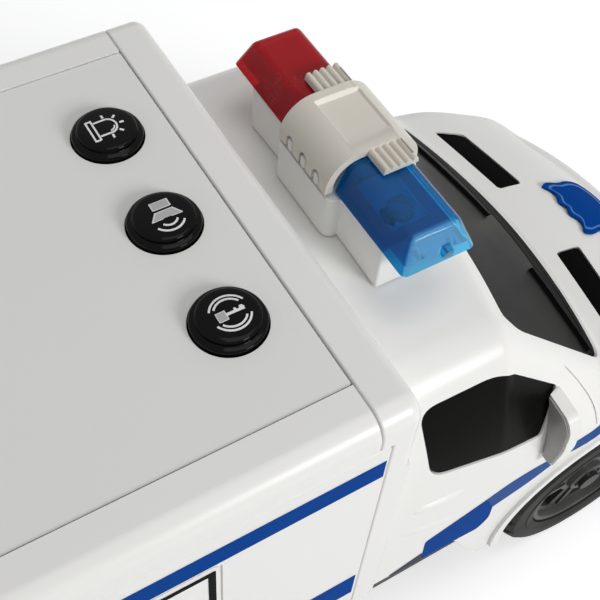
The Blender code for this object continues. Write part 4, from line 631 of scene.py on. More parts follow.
WINDOW = [(31.2, 81.9), (60.1, 73.2), (65, 83.3), (47.4, 101.1), (28.4, 101.7)]
WINDOW_CORNERS = (4, 1, 0.8, 5, 4)
DOOR_SEAM = [(68.5, 84.5), (73, 77.6), (77, 70.8), (79.3, 65.5), (80.2, 60.8)]
SEAM_WIDTH = 0.45
SEAM_DEPTH = 0.35
LEG_LINE = [(56.5, 18), (54.6, 21), (51.4, 26.5), (48.6, 32), (46.2, 37.2), (44, 39.5)]
RIDGE_STEPS = 8
RIDGE_SINK = 0.28
HANDLE_LINE = [(27.5, 71.9), (34.6, 70.8), (41.4, 69.6)]
CREASE_LINE = [(24.6, 64.7), (31.5, 60.6), (38.4, 58.0), (44, 56.6)]
SHARP = 0.04
DOOR_PATCH = [(34.7, 50), (50.1, 55.6), (53.2, 48.6), (53.7, 42.2), (51.2, 38.8), (46, 39.4), (35.4, 39.95)]
PATCH_CORNERS = (1, SHARP, SHARP, 2, 1.2, SHARP, 0.3)
DOOR_LINE = [
    (50.1, 55.6), (55, 57.8), (60.5, 58.9), (66.8, 58.9), (69.2, 55.6), (63, 51.8), (57.5, 49.9),
    (53.2, 48.6),
]
LINE_CORNERS = (SHARP, 3, 3, 0.6, 0.6, 3, 3, SHARP)
# The film's tail along the cab's foot, drawn in a darker blue as painted shade.
DOOR_TAIL = [(26.6, 40.8), (35.0, 43.7), (35.3, 39.95), (27, 40.4)]
FENDER_LINE = [
    (72.9, 56.4), (72.5, 60.6), (81, 59.7), (92, 59.3), (103, 59.6), (103.6, 58.2), (92, 57.2), (83, 56.6),
    (78, 56.1),
]
DOOR_FILMS = (
    ("film", DOOR_PATCH, PATCH_CORNERS, BLUE_FILM), ("line", DOOR_LINE, LINE_CORNERS, DULL_FILM),
    ("tail", DOOR_TAIL, SHARP, SHADE_FILM), ("fender_line", FENDER_LINE, 0.6, DULL_FILM),
)
WIPER_WIDTH = 1.3
WIPER_BOW = 0.6
WIPERS = {"wiper_left": ((26, 84.4), (-2, 79.8)), "wiper_right": ((-18.5, 78.2), (-40, 73.2))}
BADGE_MID_X = 119.4
BADGE_HALF = [
    (112.6, 0), (111.6, 2.2), (112.8, 4.6), (112.4, 6.6), (111.2, 8.6), (113.4, 9.5), (117, 8.9),
    (120.6, 9.3), (124, 8.4), (126.2, 5.6), (127.2, 2.2),
]


def rib_slopes():
    """How each span between ribs starts and ends, so that the surface bends smoothly."""
    spans = [math.hypot(b[0] - a[0], b[1] - a[1]) for a, b in zip(RIBS, RIBS[1:])]
    plain = [[(q - p) / s for p, q in zip(a, b)] for a, b, s in zip(RIBS, RIBS[1:], spans)]
    starts, ends = list(plain), list(plain)
    for bend in BENT_SPANS:
        starts[bend], ends[bend] = plain[bend - 1], plain[bend + 1]
    for rib in SOFT_RIBS:
        middle = [(p + q) / 2 for p, q in zip(plain[rib - 1], plain[rib])]
        ends[rib - 1], starts[rib] = middle, middle
    return spans, starts, ends


def cab_stations():
    """The ribs and the rows between them, each with the values of a rib."""
    spans, starts, ends = rib_slopes()
    stations = []
    for i, steps in enumerate(RIB_STEPS):
        for k in range(steps):
            t = k / steps
            a, b = (1 + 2 * t) * (1 - t) ** 2, t * t * (3 - 2 * t)
            c, d = t * (1 - t) ** 2 * spans[i], t * t * (t - 1) * spans[i]
            values = zip(RIBS[i], RIBS[i + 1], starts[i], ends[i])
            stations.append([a * p + b * q + c * m + d * n for p, q, m, n in values])
    stations.append(list(RIBS[-1]))
    return stations


def side_profile(reach, radius, belt, foot, flare):
    """Out and down from the shoulder: a round edge, an eased lean to the belt and a foot that may flare."""
    turns = [EDGE_TURN * (k + 1) / EDGE_STEPS for k in range(EDGE_STEPS)]
    points = [(radius * math.sin(a), radius * (1 - math.cos(a))) for a in turns]
    out, down = points[-1]
    for k in range(LEAN_STEPS):
        share = (k + 1) / LEAN_STEPS
        points.append((out + (reach - out) * math.sin(share * math.pi / 2), down + (belt - down) * share))
    for k in range(FOOT_STEPS):
        share = (k + 1) / FOOT_STEPS
        points.append((reach + flare * math.sin(share * math.pi / 2), belt + (foot - belt) * share))
    return points


def side_reach(half, angle):
    """How far a side goes out at the belt, and how much further at its foot."""
    full = (CAB_HALF - half) / math.cos(angle)
    share = min(1, max(0, angle / SOFT_TURN))
    share = share * share * (3 - 2 * share)
    reach = full + (min(full, CORNER_REACH) - full) * share
    return reach, min(full - reach, FLARE * (1 - angle / FLARE_END))


def cab_edge(top, stations, shares):
    """Where the cab's sides start: along the right, round the nose and back along the left."""
    rows = []
    for row, (_, _, _, half, _, radius, belt, turn) in zip(top, stations):
        angle = math.radians(turn)
        reach, flare = side_reach(half, angle)
        rows.append((row, (angle, reach, radius, belt, flare)))
    right = [(row[0], -1, *values) for row, values in rows]
    left = [(row[-1], 1, *values) for row, values in reversed(rows)]
    corner, _, radius, belt, _ = rows[-1][1]
    nose_flare = side_reach(0, corner)[1]
    nose = []
    for vert, t in list(zip(top[-1], shares))[1:-1]:
        angle = corner + (math.pi / 2 - corner) * (1 - abs(t))
        reach = NOSE_REACH + (CORNER_REACH - NOSE_REACH) * abs(t)
        nose.append((vert, math.copysign(1, t), angle, reach, radius, belt, nose_flare * abs(t)))
    return right + nose + left


def cab_face():
    """The cab's outer face, open at the rear and below."""
    shape = bmesh.new()
    stations = cab_stations()
    shares = [i / TOP_STEPS - 1 for i in range(2 * TOP_STEPS + 1)]
    top = [
        [shape.verts.new((x - back * t * t, half * t, z - drop * t * t)) for t in shares]
        for x, z, back, half, drop, _, _, _ in stations
    ]
    for rear, front in zip(top, top[1:]):
        for i in range(len(shares) - 1):
            shape.faces.new((rear[i], front[i], front[i + 1], rear[i + 1]))
    columns = []
    for vert, side, angle, reach, radius, belt, flare in cab_edge(top, stations, shares):
        out = Vector((math.sin(angle), side * math.cos(angle), 0))
        column = [vert]
        for d, h in side_profile(reach, radius, belt, vert.co.z - CAB_FOOT_Z, flare):
            column.append(shape.verts.new(vert.co + out * d - Vector((0, 0, h))))
        columns.append(column)
    for near, far in zip(columns, columns[1:]):
        for k in range(len(near) - 1):
            shape.faces.new((near[k], near[k + 1], far[k + 1], far[k]))
    bmesh.ops.recalc_face_normals(shape, faces=shape.faces[:])
    shape.faces.ensure_lookup_table()
    if shape.faces[TOP_STEPS].normal.z < 0:
        bmesh.ops.reverse_faces(shape, faces=shape.faces[:])
    mesh = bpy.data.meshes.new("cab_face")
    shape.to_mesh(mesh)
    shape.free()
    return mesh


CAB_FACE = cab_face()


def cab_skin(start, thickness, low=None, high=None):
    """A layer of the cab's face, within a box if one is given, that grows out, or in if negative."""
    shape = bmesh.new()
    shape.from_mesh(CAB_FACE)
    shape.normal_update()
    for vert, move in [(v, v.normal * start) for v in shape.verts]:
        vert.co += move

    def outside(face, i):
        places = [v.co[i] for v in face.verts]
        return max(places) < low[i] - SKIN_MARGIN or min(places) > high[i] + SKIN_MARGIN

    if low:
        far = [f for f in shape.faces if any(outside(f, i) for i in range(3))]
        bmesh.ops.delete(shape, geom=far, context="FACES")
    made = from_bmesh(shape, recalculate=False)
    grow = made.modifiers.new("wall", "SOLIDIFY")
    grow.thickness = abs(thickness)
    grow.offset = math.copysign(1, thickness)
    grow.use_even_offset = True
    return baked(made)


def on_side(start, thickness, outline, side):
    """A layer of the cab's side, inside an outline seen from the side."""
    us, vs = zip(*outline)
    near, far = span(side, INNER, OUTER)
    skin = cab_skin(start, thickness, (min(us), near, min(vs)), (max(us), far, max(vs)))
    return within(skin, prism(outline, near, far, "Y"))


def on_top(start, thickness, *outlines):
    """A layer of the bonnet, inside an outline seen from above, with holes after the first."""
    us, vs = zip(*outlines[0])
    low, high = BONNET_Z
    skin = cab_skin(start, thickness, (min(us), min(vs), low), (max(us), max(vs), high))
    return within(skin, prism(outlines, low, high, "Z"))


def on_front(start, thickness, outline, low_x, high_x):
    """A layer of the cab's face, inside an outline seen from the front."""
    us, vs = zip(*outline)
    skin = cab_skin(start, thickness, (low_x, min(us), min(vs)), (high_x, max(us), max(vs)))
    return within(skin, prism(outline, low_x, high_x, "X"))


def windscreen_outline(low_z, inset):
    low, high, arch = SCREEN_HALF - inset, SCREEN_TOP_HALF - inset, SCREEN_ARCH
    top, foot = CAB_ROOF_Z - 3.6 - inset, low_z + inset
    bottom_edge = [(low * k, foot + arch * k * k) for k in (-1, -0.5, 0, 0.5, 1)]
    top_edge = [(high * k, top - 2 * arch * k * k) for k in (1, 0.5, 0, -0.5, -1)]
    return soft_corners(bottom_edge + top_edge, 5)


def bowed_strip(low, high, low_half, high_half, steps):
    """A strip across the foot of the screen, bowed like it."""
    shares = [k / steps - 1 for k in range(2 * steps + 1)]
    return ([(low_half * k, low + SCREEN_ARCH * k * k) for k in shares]
            + [(high_half * k, high + SCREEN_ARCH * k * k) for k in reversed(shares)])


def window_outline(inset):
    return shrunk(soft_corners(WINDOW, WINDOW_CORNERS), inset)


def vent_outline(inset):
    rear, front = 98.7 + inset, 106.5 - inset
    inner, outer = 11.5 + inset, 36 - inset
    return soft_corners([(rear, inner), (front, inner), (front - 3.2, outer - 3), (rear - 3.2, outer)], 1.2)


def lamp_outline(inset):
    inner, outer, low, high = 22 + inset, 41 - inset, 41.5 + inset, 49 - inset
    return soft_corners([(inner, low), (outer, low + 1.5), (outer, high), (inner, high)], 2)


def grille_outline(inset):
    half = GRILLE_HALF - inset
    return rounded((-half, GRILLE_LOW + inset), (half, GRILLE_HIGH - inset), 2)


def wheel_opening(radius, side):
    """Room for a front wheel, longer in front of the axle."""
    front = arc((FRONT_AXLE_X + STEER_ROOM, AXLE_Z), radius, -90, 90, 36)
    rear = arc((FRONT_AXLE_X, AXLE_Z), radius, 90, 270, 36)
    return prism(front + rear, *span(side, WELL_Y, BOX_HALF + 15), "Y")


def sill_cutter(side):
    """What is taken off the cab below its sill, behind the slanted leg of the arch."""
    rear = CAB_REAR_X - WALL
    outline = [(rear, CAB_FOOT_Z - WALL), *smooth_line(LEG_LINE, 4), (rear, SILL_Z + SILL_RISE)]
    return prism(outline, *span(side, INNER, OUTER), "Y")


def make_cab():
    shell = cab_skin(0, -WALL)
    reach = ARCH_RADIUS + ARCH_LIP
    for side, _ in SIDES:
        near, far = span(side, WELL_Y, OUTER)
        low = (FRONT_AXLE_X - reach, near, CAB_FOOT_Z)
        high = (FRONT_AXLE_X + STEER_ROOM + reach, far, AXLE_Z + reach)
        lip = cab_skin(-WALL / 2, WALL / 2 + 0.9, low, high)
        fuse(shell, within(lip, wheel_opening(reach, side)))
    shell = baked(shell)
    cut(shell, prism(windscreen_outline(COWL_Z, 0), *SCREEN_X, "X"))
    for side, _ in SIDES:
        cut(
            shell,
            prism(window_outline(0), *span(side, INNER, OUTER), "Y"),
            prism(sided_xy(vent_outline(0), side), COWL_Z - 9, COWL_Z + 5, "Z"),
            prism(sided_yz(lamp_outline(0), side), *NOSE_X, "X"),
            wheel_opening(ARCH_RADIUS, side),
            sill_cutter(side),
            on_side(-SEAM_DEPTH, 1.5, band(smooth_line(DOOR_SEAM, 4), SEAM_WIDTH), side),
        )
    piece(carved(shell, prism(grille_outline(0), *NOSE_X, "X")), "cab_shell", WHITE, angle=32)


def make_screen():
    """The windscreen, the strip at its foot and the dark border over the strip."""
    screen = on_front(-GAP, -PANE, windscreen_outline(COWL_Z + COWL_RISE, GAP), *SCREEN_X)
    piece(screen, "windscreen", SCREEN)
    half = SCREEN_HALF - GAP
    strip = bowed_strip(COWL_Z + GAP, COWL_Z + COWL_RISE - GAP, half, half, 6)
    skin = cab_skin(-GAP, -PANE, (SCREEN_X[0], -45, COWL_Z - 2), (SCREEN_X[1], 45, COWL_Z + 8))
    whole = prism(windscreen_outline(COWL_Z, GAP), *SCREEN_X, "X")
    piece(within(skin, prism(strip, *SCREEN_X, "X"), whole), "cowl_trim", BLACK)
    border = bowed_strip(COWL_Z + 2.9, COWL_Z + 6.4, 41, 40.4, 8)
    piece(on_front(FILM_GAP - GAP, FILM, border, *SCREEN_X), "screen_border", BLACK_FILM)


def make_cab_trim():
    """Side windows, bonnet vents, headlights and grille."""
    for side, word in SIDES:
        piece(on_side(-GAP, -PANE, window_outline(GAP), side), f"side_window_{word}", TINTED)
        piece(on_top(-GAP, -PANE, sided_xy(vent_outline(GAP), side)), f"bonnet_vent_{word}", BLACK)
        lamp = on_front(0, -WALL, sided_yz(lamp_outline(GAP), side), *NOSE_X)
        piece(lamp, f"headlight_{word}", CLEAR)
        mirror = on_front(-WALL - FILM_GAP, -WALL / 2, sided_yz(lamp_outline(2 * GAP), side), *NOSE_X)
        piece(mirror, f"headlight_mirror_{word}", SILVER)
    grille = on_front(0, -WALL, grille_outline(GAP), *NOSE_X)
    low, bar = GRILLE_LOW + GAP, 1.4
    half = GRILLE_HALF - GAP - 2 * bar
    rise = (GRILLE_HIGH - GAP - low - bar) / 3
    for k in range(3):
        opening = low + bar + k * rise
        cut(grille, block((NOSE_X[0], -half, opening), (NOSE_X[1], half, opening + rise - bar)))
    piece(baked(grille), "grille", BLACK)


def make_front_bumper():
    reach = LENGTH / 2 - LIP_X - NOSE_REACH + GAP
    low, high = (FRONT_AXLE_X, -OUTER - reach, BUMPER_LOW), (LENGTH / 2, OUTER + reach, BUMPER_HIGH)
    bumper = combine(cab_skin(GAP, reach, low, high), "INTERSECT", [block(low, high)])
    for side, _ in SIDES:
        cut(bumper, wheel_opening(ARCH_RADIUS + ARCH_LIP + 2 * GAP, side))
    bumper = eased(baked(bumper), 0.7, 3, 50)
    for z in GROOVES_Z:
        skin = cab_skin(reach + GAP - 1.3, 2.5, (FRONT_AXLE_X, -36, z - 3), (LENGTH / 2, 36, z + 3))
        bar = block((FRONT_AXLE_X, -26, z - GROOVE_HALF), (LENGTH, 26, z + GROOVE_HALF))
        cut(bumper, within(skin, bar))
    piece(baked(bumper), "front_bumper", GREY)


def soft_ridge(points, side, width, height):
    """A low round swelling along a line on the cab's side, that dies away at both ends."""
    face = bmesh.new()
    face.from_mesh(CAB_FACE)
    tree = BVHTree.FromBMesh(face)
    face.free()
    line = [Vector(p) for p in smooth_line(points, 8)]
    shape = bmesh.new()
    rows = []
    for i, spot in enumerate(line):
        ahead = (line[min(i + 1, len(line) - 1)] - line[max(i - 1, 0)]).normalized()
        across = Vector((-ahead.y, ahead.x))
        fade = math.sqrt(math.sin(math.pi * i / (len(line) - 1)))
        row, under = [], []
        for k in range(RIDGE_STEPS + 1):
            share = k / RIDGE_STEPS - 0.5
            x, z = spot + across * width * share
            hit, normal, _, _ = tree.ray_cast(Vector((x, side * 2 * OUTER, z)), Vector((0, -side, 0)))
            lift = (height + RIDGE_SINK) * fade * math.cos(math.pi * share) - RIDGE_SINK
            row.append(shape.verts.new(hit + normal * lift))
            under.append(shape.verts.new(hit - normal * 2 * RIDGE_SINK))
        rows.append(row + under[::-1])
    for near, far in zip(rows, rows[1:]):
        ring_walls(shape, near, far)
    shape.faces.new(rows[0])
    shape.faces.new(rows[-1])
    return from_bmesh(shape)


def make_cab_details():
    """Handles, creases and the blue film on the cab's sides, the wipers and the badge."""
    for side, word in SIDES:
        piece(soft_ridge(HANDLE_LINE, side, 2.8, 0.8), f"door_handle_{word}", WHITE)
        piece(soft_ridge(CREASE_LINE, side, 3.6, 0.4), f"door_crease_{word}", WHITE)
        for name, outline, radius, material in DOOR_FILMS:
            film = on_side(FILM_GAP, FILM, soft_corners(outline, radius, 4), side)
            piece(film, f"door_{name}_{word}", material)
    for name, (root, tip) in WIPERS.items():
        middle = ((root[0] + tip[0]) / 2, (root[1] + tip[1]) / 2 + WIPER_BOW)
        piece(on_front(-GAP, 0.9, band([root, middle, tip], WIPER_WIDTH), *SCREEN_X), name, BLACK)
    make_badge()


def make_badge():
    """A plain shield with a wavy rear edge, and a paler line inside its edge."""
    wave = smooth_line(BADGE_HALF, 4)
    points = wave + [(x, -y) for x, y in reversed(wave[1:])]
    piece(on_top(GAP, 0.5, points), "bonnet_badge", BLUE_FILM)
    outer, inner = [
        [(BADGE_MID_X + (x - BADGE_MID_X) * along, y * across) for x, y in points]
        for along, across in ((0.86, 0.88), (0.78, 0.82))
    ]
    piece(on_top(GAP + 0.45, 0.12, outer, inner), "bonnet_badge_line", PALE_FILM)


# Mirrors

def mirror_outline(inset):
    low, high, inner, outer = 64.5 + inset, 83.5 - inset, CAB_HALF - 6 + inset, 57 - inset
    return soft_corners(
        [(inner, low + 1), (outer - 0.9, low), (outer, low + 8), (outer - 0.5, high - 4),
         (outer - 2.4, high - 1.2), (inner, high)],
        1.6,
    )


def make_mirrors():
    """Each mirror's housing and its plate, both fitted to the door."""
    parts = (
        ("mirror", 0, (62.5, 65.4), 0.6, 4, WHITE),
        # The plate's grey is painted shade.
        ("mirror_glass", 0.45, (62.1, 62.48), 0.15, 2, MIRROR_SHADE_GREY),
    )
    for side, word in SIDES:
        near, far = span(side, WELL_Y, OUTER)
        for name, inset, (rear, front), roll, segments, material in parts:
            made = prism(sided_yz(mirror_outline(inset), side), rear, front, "X")
            door = cab_skin(GAP, -8, (50, near, 50), (80, far, 95))
            piece(carved(eased(made, roll, segments, 60), door), f"{name}_{word}", material)


make_cab()
make_screen()
make_cab_trim()
make_front_bumper()
make_cab_details()
make_mirrors()


# Box, hoop and roof panel

# Each blue stripe: its lower edge, its upper edge and its front end
STRIPES = ((102.1, 107.9, 15.9), (46.8, 56.6, 15.7))
CREASE_RISE = 0.16
CREASE_HALF = 0.5


def box_section(low):
    radius = ROOF_EDGE_RADIUS
    middle, height = BOX_HALF - radius, ROOF_Z - radius
    return (
        [(BOX_HALF, low)]
        + arc((middle, height), radius, 0, 90, 16)
        + arc((-middle, height), radius, 90, 180, 16)
        + [(-BOX_HALF, low)]
    )


def cavity_section(low):
    half, top = BOX_HALF - WALL, ROOF_Z - ROOF_RIM
    return [(half, low), (half, top), (-half, top), (-half, low)]


def door_groove(side):
    """The sliding door's joint line in the box's side."""
    outlines = framed((-74, 43), (-14.8, 101.6), 0.6, 2, 1.6)
    return prism(outlines, *span(side, BOX_HALF - 0.45, BOX_HALF + WALL), "Y")


def rear_arch(radius):
    reach = BOX_HALF + WALL
    return rod((REAR_AXLE_X, -reach, AXLE_Z), (REAR_AXLE_X, reach, AXLE_Z), radius, 72)


def rolled_front(hoop):
    """The hoop with a soft round edge along its front, above a certain height."""
    shape = bmesh.new()
    shape.from_mesh(hoop.data)
    bpy.data.objects.remove(hoop, do_unlink=True)
    flattened(shape)
    everything = shape.verts[:] + shape.edges[:] + shape.faces[:]
    bmesh.ops.bisect_plane(shape, geom=everything, plane_co=(0, 0, HOOP_ROLL_Z), plane_no=(0, 0, 1))
    front = []
    for edge in shape.edges:
        heights = [v.co.z for v in edge.verts]
        above = min(heights) > HOOP_ROLL_Z - WELD and max(heights) > HOOP_ROLL_Z + WELD
        if above and min(v.co.x for v in edge.verts) > BOX_FRONT_X - WELD:
            front.append(edge)
    rolled(shape, front, HOOP_ROLL, 6, clamp=True)
    return from_bmesh(shape)


def make_box():
    below, beyond, over = SILL_Z - WALL, BOX_HALF + WALL, ROOF_Z + WALL
    panel_hole = rounded((PANEL_REAR_X, -PANEL_HALF), (HOOP_ROOF_X + 8, PANEL_HALF), PANEL_CORNER)
    shell = prism(box_section(SILL_Z), BOX_REAR_X, HOOP_SIDE_X - GAP / 2, "X")
    shell = carved(
        shell,
        prism(cavity_section(below), BOX_REAR_X + WALL, HOOP_SIDE_X + WALL, "X"),
        block((HOOP_ROOF_X - GAP / 2, -beyond, HOOP_STEP_Z), (BOX_FRONT_X, beyond, over)),
        prism(panel_hole, PANEL_TOP - PANEL_THICK - GAP, over, "Z"),
        block((PANEL_REAR_X + LEDGE, -PANEL_HALF + LEDGE, ROOF_Z - 2 * ROOF_RIM),
              (HOOP_ROOF_X + WALL, PANEL_HALF - LEDGE, over)),
        rear_arch(ARCH_RADIUS),
    )
    piece(carved(eased(shell, 0.25, 2, 50), door_groove(1), door_groove(-1)), "box_shell", WHITE)

    hoop = rolled_front(prism(box_section(SILL_Z), HOOP_ROOF_X + GAP / 2, BOX_FRONT_X, "X"))
    rear, inside = HOOP_ROOF_X - WALL, BOX_HALF - WALL
    hoop = carved(
        hoop,
        prism(cavity_section(below), rear, BOX_FRONT_X - WALL, "X"),
        block((rear, -inside, below), (BOX_FRONT_X + WALL, inside, SILL_Z + LIP_RISE + 2 * GAP)),
        block((rear, -beyond, below), (HOOP_SIDE_X + GAP / 2, beyond, HOOP_STEP_Z + GAP)),
    )
    piece(eased(hoop, 0.5, 3, 50), "box_front_hoop", WHITE)

    outline = rounded((PANEL_REAR_X + GAP, -PANEL_HALF + GAP), (HOOP_ROOF_X - GAP / 2, PANEL_HALF - GAP),
                      PANEL_CORNER)
    holes = [arc((BUTTON_X, BUTTON_PITCH * k), BUTTON_RADIUS + GAP, 5, 360, 71) for k in (1, 0, -1)]
    panel = prism([outline, *holes], PANEL_TOP - PANEL_THICK, PANEL_TOP, "Z")
    piece(eased(panel, 0.25), "roof_panel", ROOF_SHADED)


def make_box_sides():
    """The stripes, the crease over them and the black outline of a bare field."""
    curve = []
    for turn in [math.pi * k / 8 for k in range(9)]:
        height = HOOP_STEP_Z + CREASE_HALF * (1 - math.cos(turn))
        curve.append((BOX_HALF + CREASE_RISE * math.sin(turn), height))
    sunk = BOX_HALF - 0.2
    swell = [(sunk, curve[0][1]), *curve, (sunk, curve[-1][1])]
    field = framed((-66, 62), (-16.1, 99.6), 1.4, 0.4, 0.3, 3)
    for side, word in SIDES:
        near, far = span(side, BOX_HALF + FILM_GAP, BOX_HALF + FILM_GAP + FILM)
        films = joined([block((BOX_REAR_X + 1, near, low), (end, far, high)) for low, high, end in STRIPES])
        films = carved(films, rear_arch(ARCH_RADIUS + 0.8), door_groove(side))
        piece(films, f"side_stripes_{word}", BLUE_FILM)
        crease = prism(sided_yz(swell, side), BOX_REAR_X + 0.6, HOOP_SIDE_X - 0.6, "X")
        piece(crease, f"side_crease_{word}", WHITE)
        piece(prism(field, near, far, "Y"), f"side_frame_{word}", BLACK_FILM)


make_box()
make_box_sides()


# Buttons and their pictograms

PICTOGRAM_X = -0.15
PRINT_THICK = 0.1
PRINT_SINK = 0.02
STROKE = 0.36
FINE_STROKE = 0.24


def dome(r):
    """The height of a button's cap over the roof panel, by radius."""
    share = min(1.0, r / DOME_REACH)
    return BUTTON_HEIGHT - DOME_DROP * share * share


def make_button(name, centre):
    """A domed cap in a ring, over a flange that stays under the roof panel."""
    cap, ring, h = BUTTON_CAP, BUTTON_RADIUS, BUTTON_HEIGHT
    profile = [(DOME_REACH * k / 8, dome(DOME_REACH * k / 8)) for k in range(9)]
    for k in range(1, 7):
        turn = math.radians(20 + 70 * k / 6)
        profile.append((cap - 0.62 * (1 - math.sin(turn)), h - 0.8 + 0.55 * math.cos(turn)))
    profile += [(cap, h - 1.2), (cap + 0.06, h - 1.34), (cap + 0.2, h - 1.42)]
    profile += [(ring - 0.35, h - 1.5), (ring - 0.1, h - 1.6), (ring, h - 1.85)]
    low, flange = FLANGE_TOP_Z - PANEL_TOP, ring + GAP + FLANGE_REACH
    profile += [(ring, low), (flange, low), (flange, low - FLANGE_THICK), (0, low - FLANGE_THICK)]
    made = turned(profile, Matrix.Translation((*centre, PANEL_TOP)), 72)
    piece(made, name, GLOSS, name, 50)


def pictogram(name, button, centre, outlines, material):
    """Flat marks printed on a button, bent over its cap."""
    made = joined([prism(outline, 0, PRINT_THICK, "Z") for outline in outlines])
    for vert in made.data.vertices:
        x, y = vert.co.x + PICTOGRAM_X, vert.co.y
        height = PANEL_TOP + dome(math.hypot(x, y)) + vert.co.z - PRINT_SINK
        vert.co = (centre[0] + x, centre[1] + y, height)
    piece(made, name, material, button)


def loop(points, width=STROKE):
    """A closed line of some width round an outline, as four bands or more."""
    bands = []
    for (a, b), (c, d) in zip(points, points[1:] + points[:1]):
        run = Vector((c - a, d - b)).normalized() * width / 2
        bands.append(band([(a - run.x, b - run.y), (c + run.x, d + run.y)], width))
    return bands


def ring_arc(centre, radius, start, end, width=STROKE, steps=20):
    return band(arc(centre, radius, start, end, steps), width)


def beacon_marks():
    """A lamp on a foot, with rays."""
    turns = [math.radians(90 - 180 * k / 24) for k in range(1, 24)]
    bell = [(0.5 + 1.6 * math.cos(a), 1.8 * math.sin(a)) for a in turns]
    lamp = [(-1.75, 1.8), (0.5, 1.8), *bell, (0.5, -1.8), (-1.75, -1.8)]
    marks = loop([(-3.0, 2.55), (-2.0, 2.55), (-2.0, -2.55), (-3.0, -2.55)]) + [band(lamp, STROKE)]
    marks.append(ring_arc((0.4, -0.1), 1.2, -8, -85, 0.28, 10))
    for turn in (90, 45, 0, -45, -90):
        c, s = math.cos(math.radians(turn)), math.sin(math.radians(turn))
        marks.append(band([(0.4 + 2.35 * c, 2.25 * s), (0.4 + 3.2 * c, 3.1 * s)], 0.42))
    return [], marks


def sound_marks():
    """A loudspeaker with two waves."""
    coil = [(-1.2, 1.5), (2.1, 1.5), (2.1, 3.1), (-1.2, 3.1)]
    horn = [(-2.36, -0.85), (3.26, -0.85), (2.12, 0.75), (-1.2, 0.75)]
    marks = loop(coil, FINE_STROKE) + loop(horn, FINE_STROKE)
    marks += [ring_arc((0.45, -0.9), 1.75, -30, -140), ring_arc((0.45, -0.7), 3.1, -34, -146)]
    return [coil, horn], marks


def start_marks():
    """A key between arcs."""
    bow = [(-1.9, -1.0), (-0.35, -1.0), (-0.35, 0.7), (-1.9, 0.7)]
    shank = [
        (-0.4, -0.36), (3.05, -0.36), (3.15, 0.2), (2.9, 0.62), (2.35, 0.62), (2.2, 0.14), (1.75, 0.14),
        (1.65, 0.55), (1.3, 0.55), (1.2, 0.14), (-0.4, 0.14),
    ]
    marks = loop(bow, FINE_STROKE) + [shank]
    for radius, start, end in ((3.52, 27, 153), (2.8, 34, 145), (3.5, -24, -155), (2.78, -33, -144)):
        marks.append(ring_arc((0.5, 0), radius, start, end))
    return [bow], marks


def make_buttons():
    rows = (("beacon", 1, beacon_marks), ("sound", 0, sound_marks), ("start", -1, start_marks))
    for word, k, drawn in rows:
        button, centre = f"{word}_button", (BUTTON_X, BUTTON_PITCH * k)
        make_button(button, centre)
        fills, marks = drawn()
        if fills:
            pictogram(f"{word}_fill", button, centre, fills, GREY_PRINT)
        pictogram(f"{word}_mark", button, centre, marks, PRINT)


make_buttons()


# Lightbar

def lens_block(inset, low, inner, side):
    """A lens body: a block whose front, rear and outer faces lean in towards the top."""
    ends = []
    for z, lean in ((low, 0), (LENS_TOP_Z - inset, LENS_TAPER)):
        draw = inset + lean
        ends.append((z, LENS_REAR_X + draw, LENS_FRONT_X - draw, side * inner, side * (LENS_HALF - draw)))
    shape = frustum(*ends)
    edges = [e for e in shape.edges if max(v.co.z for v in e.verts) > low + WELD]
    rolled(shape, edges, 0.5 if inset else 1.2, 6)
    return from_bmesh(shape)


def lens_ribs(side):
    """Two ribs inside a lens and a boss in its end wall."""
    near, far = span(side, LENS_HALF - LENS_WALL - 2.4, LENS_HALF - LENS_WALL + 0.4)
    ribs = []
    for x in (LENS_MID_X - 3.4, LENS_MID_X + 3.4):
        ribs.append(block((x - 0.4, near, LENS_BASE_Z + 0.4), (x + 0.4, far, LENS_TOP_Z - 4)))
    x, end = LENS_MID_X + 1.5, side * (LENS_HALF - 0.6)
    start, tip = (x, end - side * 0.8, LENS_BASE_Z + 1.8), (x, end + side * 0.8, LENS_BASE_Z + 1.5)
    return [*ribs, rod(start, tip, 1.3, 32, 1.1)]


def make_lenses():
    inner = SADDLE_HALF - 1
    for side, name, material in ((1, "lens_red", RED_LENS), (-1, "lens_blue", BLUE_LENS)):
        hollow = lens_block(LENS_WALL, LENS_BASE_Z + LENS_WALL, inner + LENS_WALL, side)
        near, far = span(side, inner + LENS_WALL, BAR_BASE_HALF - WALL)
        opening = block((LENS_REAR_X + 4, near, LENS_BASE_Z - WALL),
                        (LENS_FRONT_X - 4, far, LENS_BASE_Z + 2 * LENS_WALL))
        lens = carved(lens_block(0, LENS_BASE_Z, inner, side), hollow, opening)
        piece(baked(fuse(lens, *lens_ribs(side))), name, material)


def saddle_outline(inset, foot):
    """The saddle across the lightbar: a low arch with round shoulders."""
    rear, front = LENS_REAR_X - WALL - GAP + inset, LENS_FRONT_X + WALL + GAP - inset
    top, radius = SADDLE_TOP_Z - inset, 7 - inset
    return (
        [(front, foot)]
        + arc((front - radius, top - radius), radius, 0, 90, 14)
        + arc((rear + radius, top - radius), radius, 90, 180, 14)
        + [(rear, foot)]
    )


def tab_outline(low, rear, front):
    """The saddle's tabs: flat below and ribbed above."""
    pitch = (front - rear) / TAB_RIDGES
    points = [(front, low), (rear, low)]
    for k in range(TAB_RIDGES):
        for j in range(9):
            turn = math.pi * j / 8
            x = rear + pitch * (k + 0.5 - 0.4 * math.cos(turn))
            points.append((x, low + 0.7 + 0.75 * math.sin(turn)))
    return points


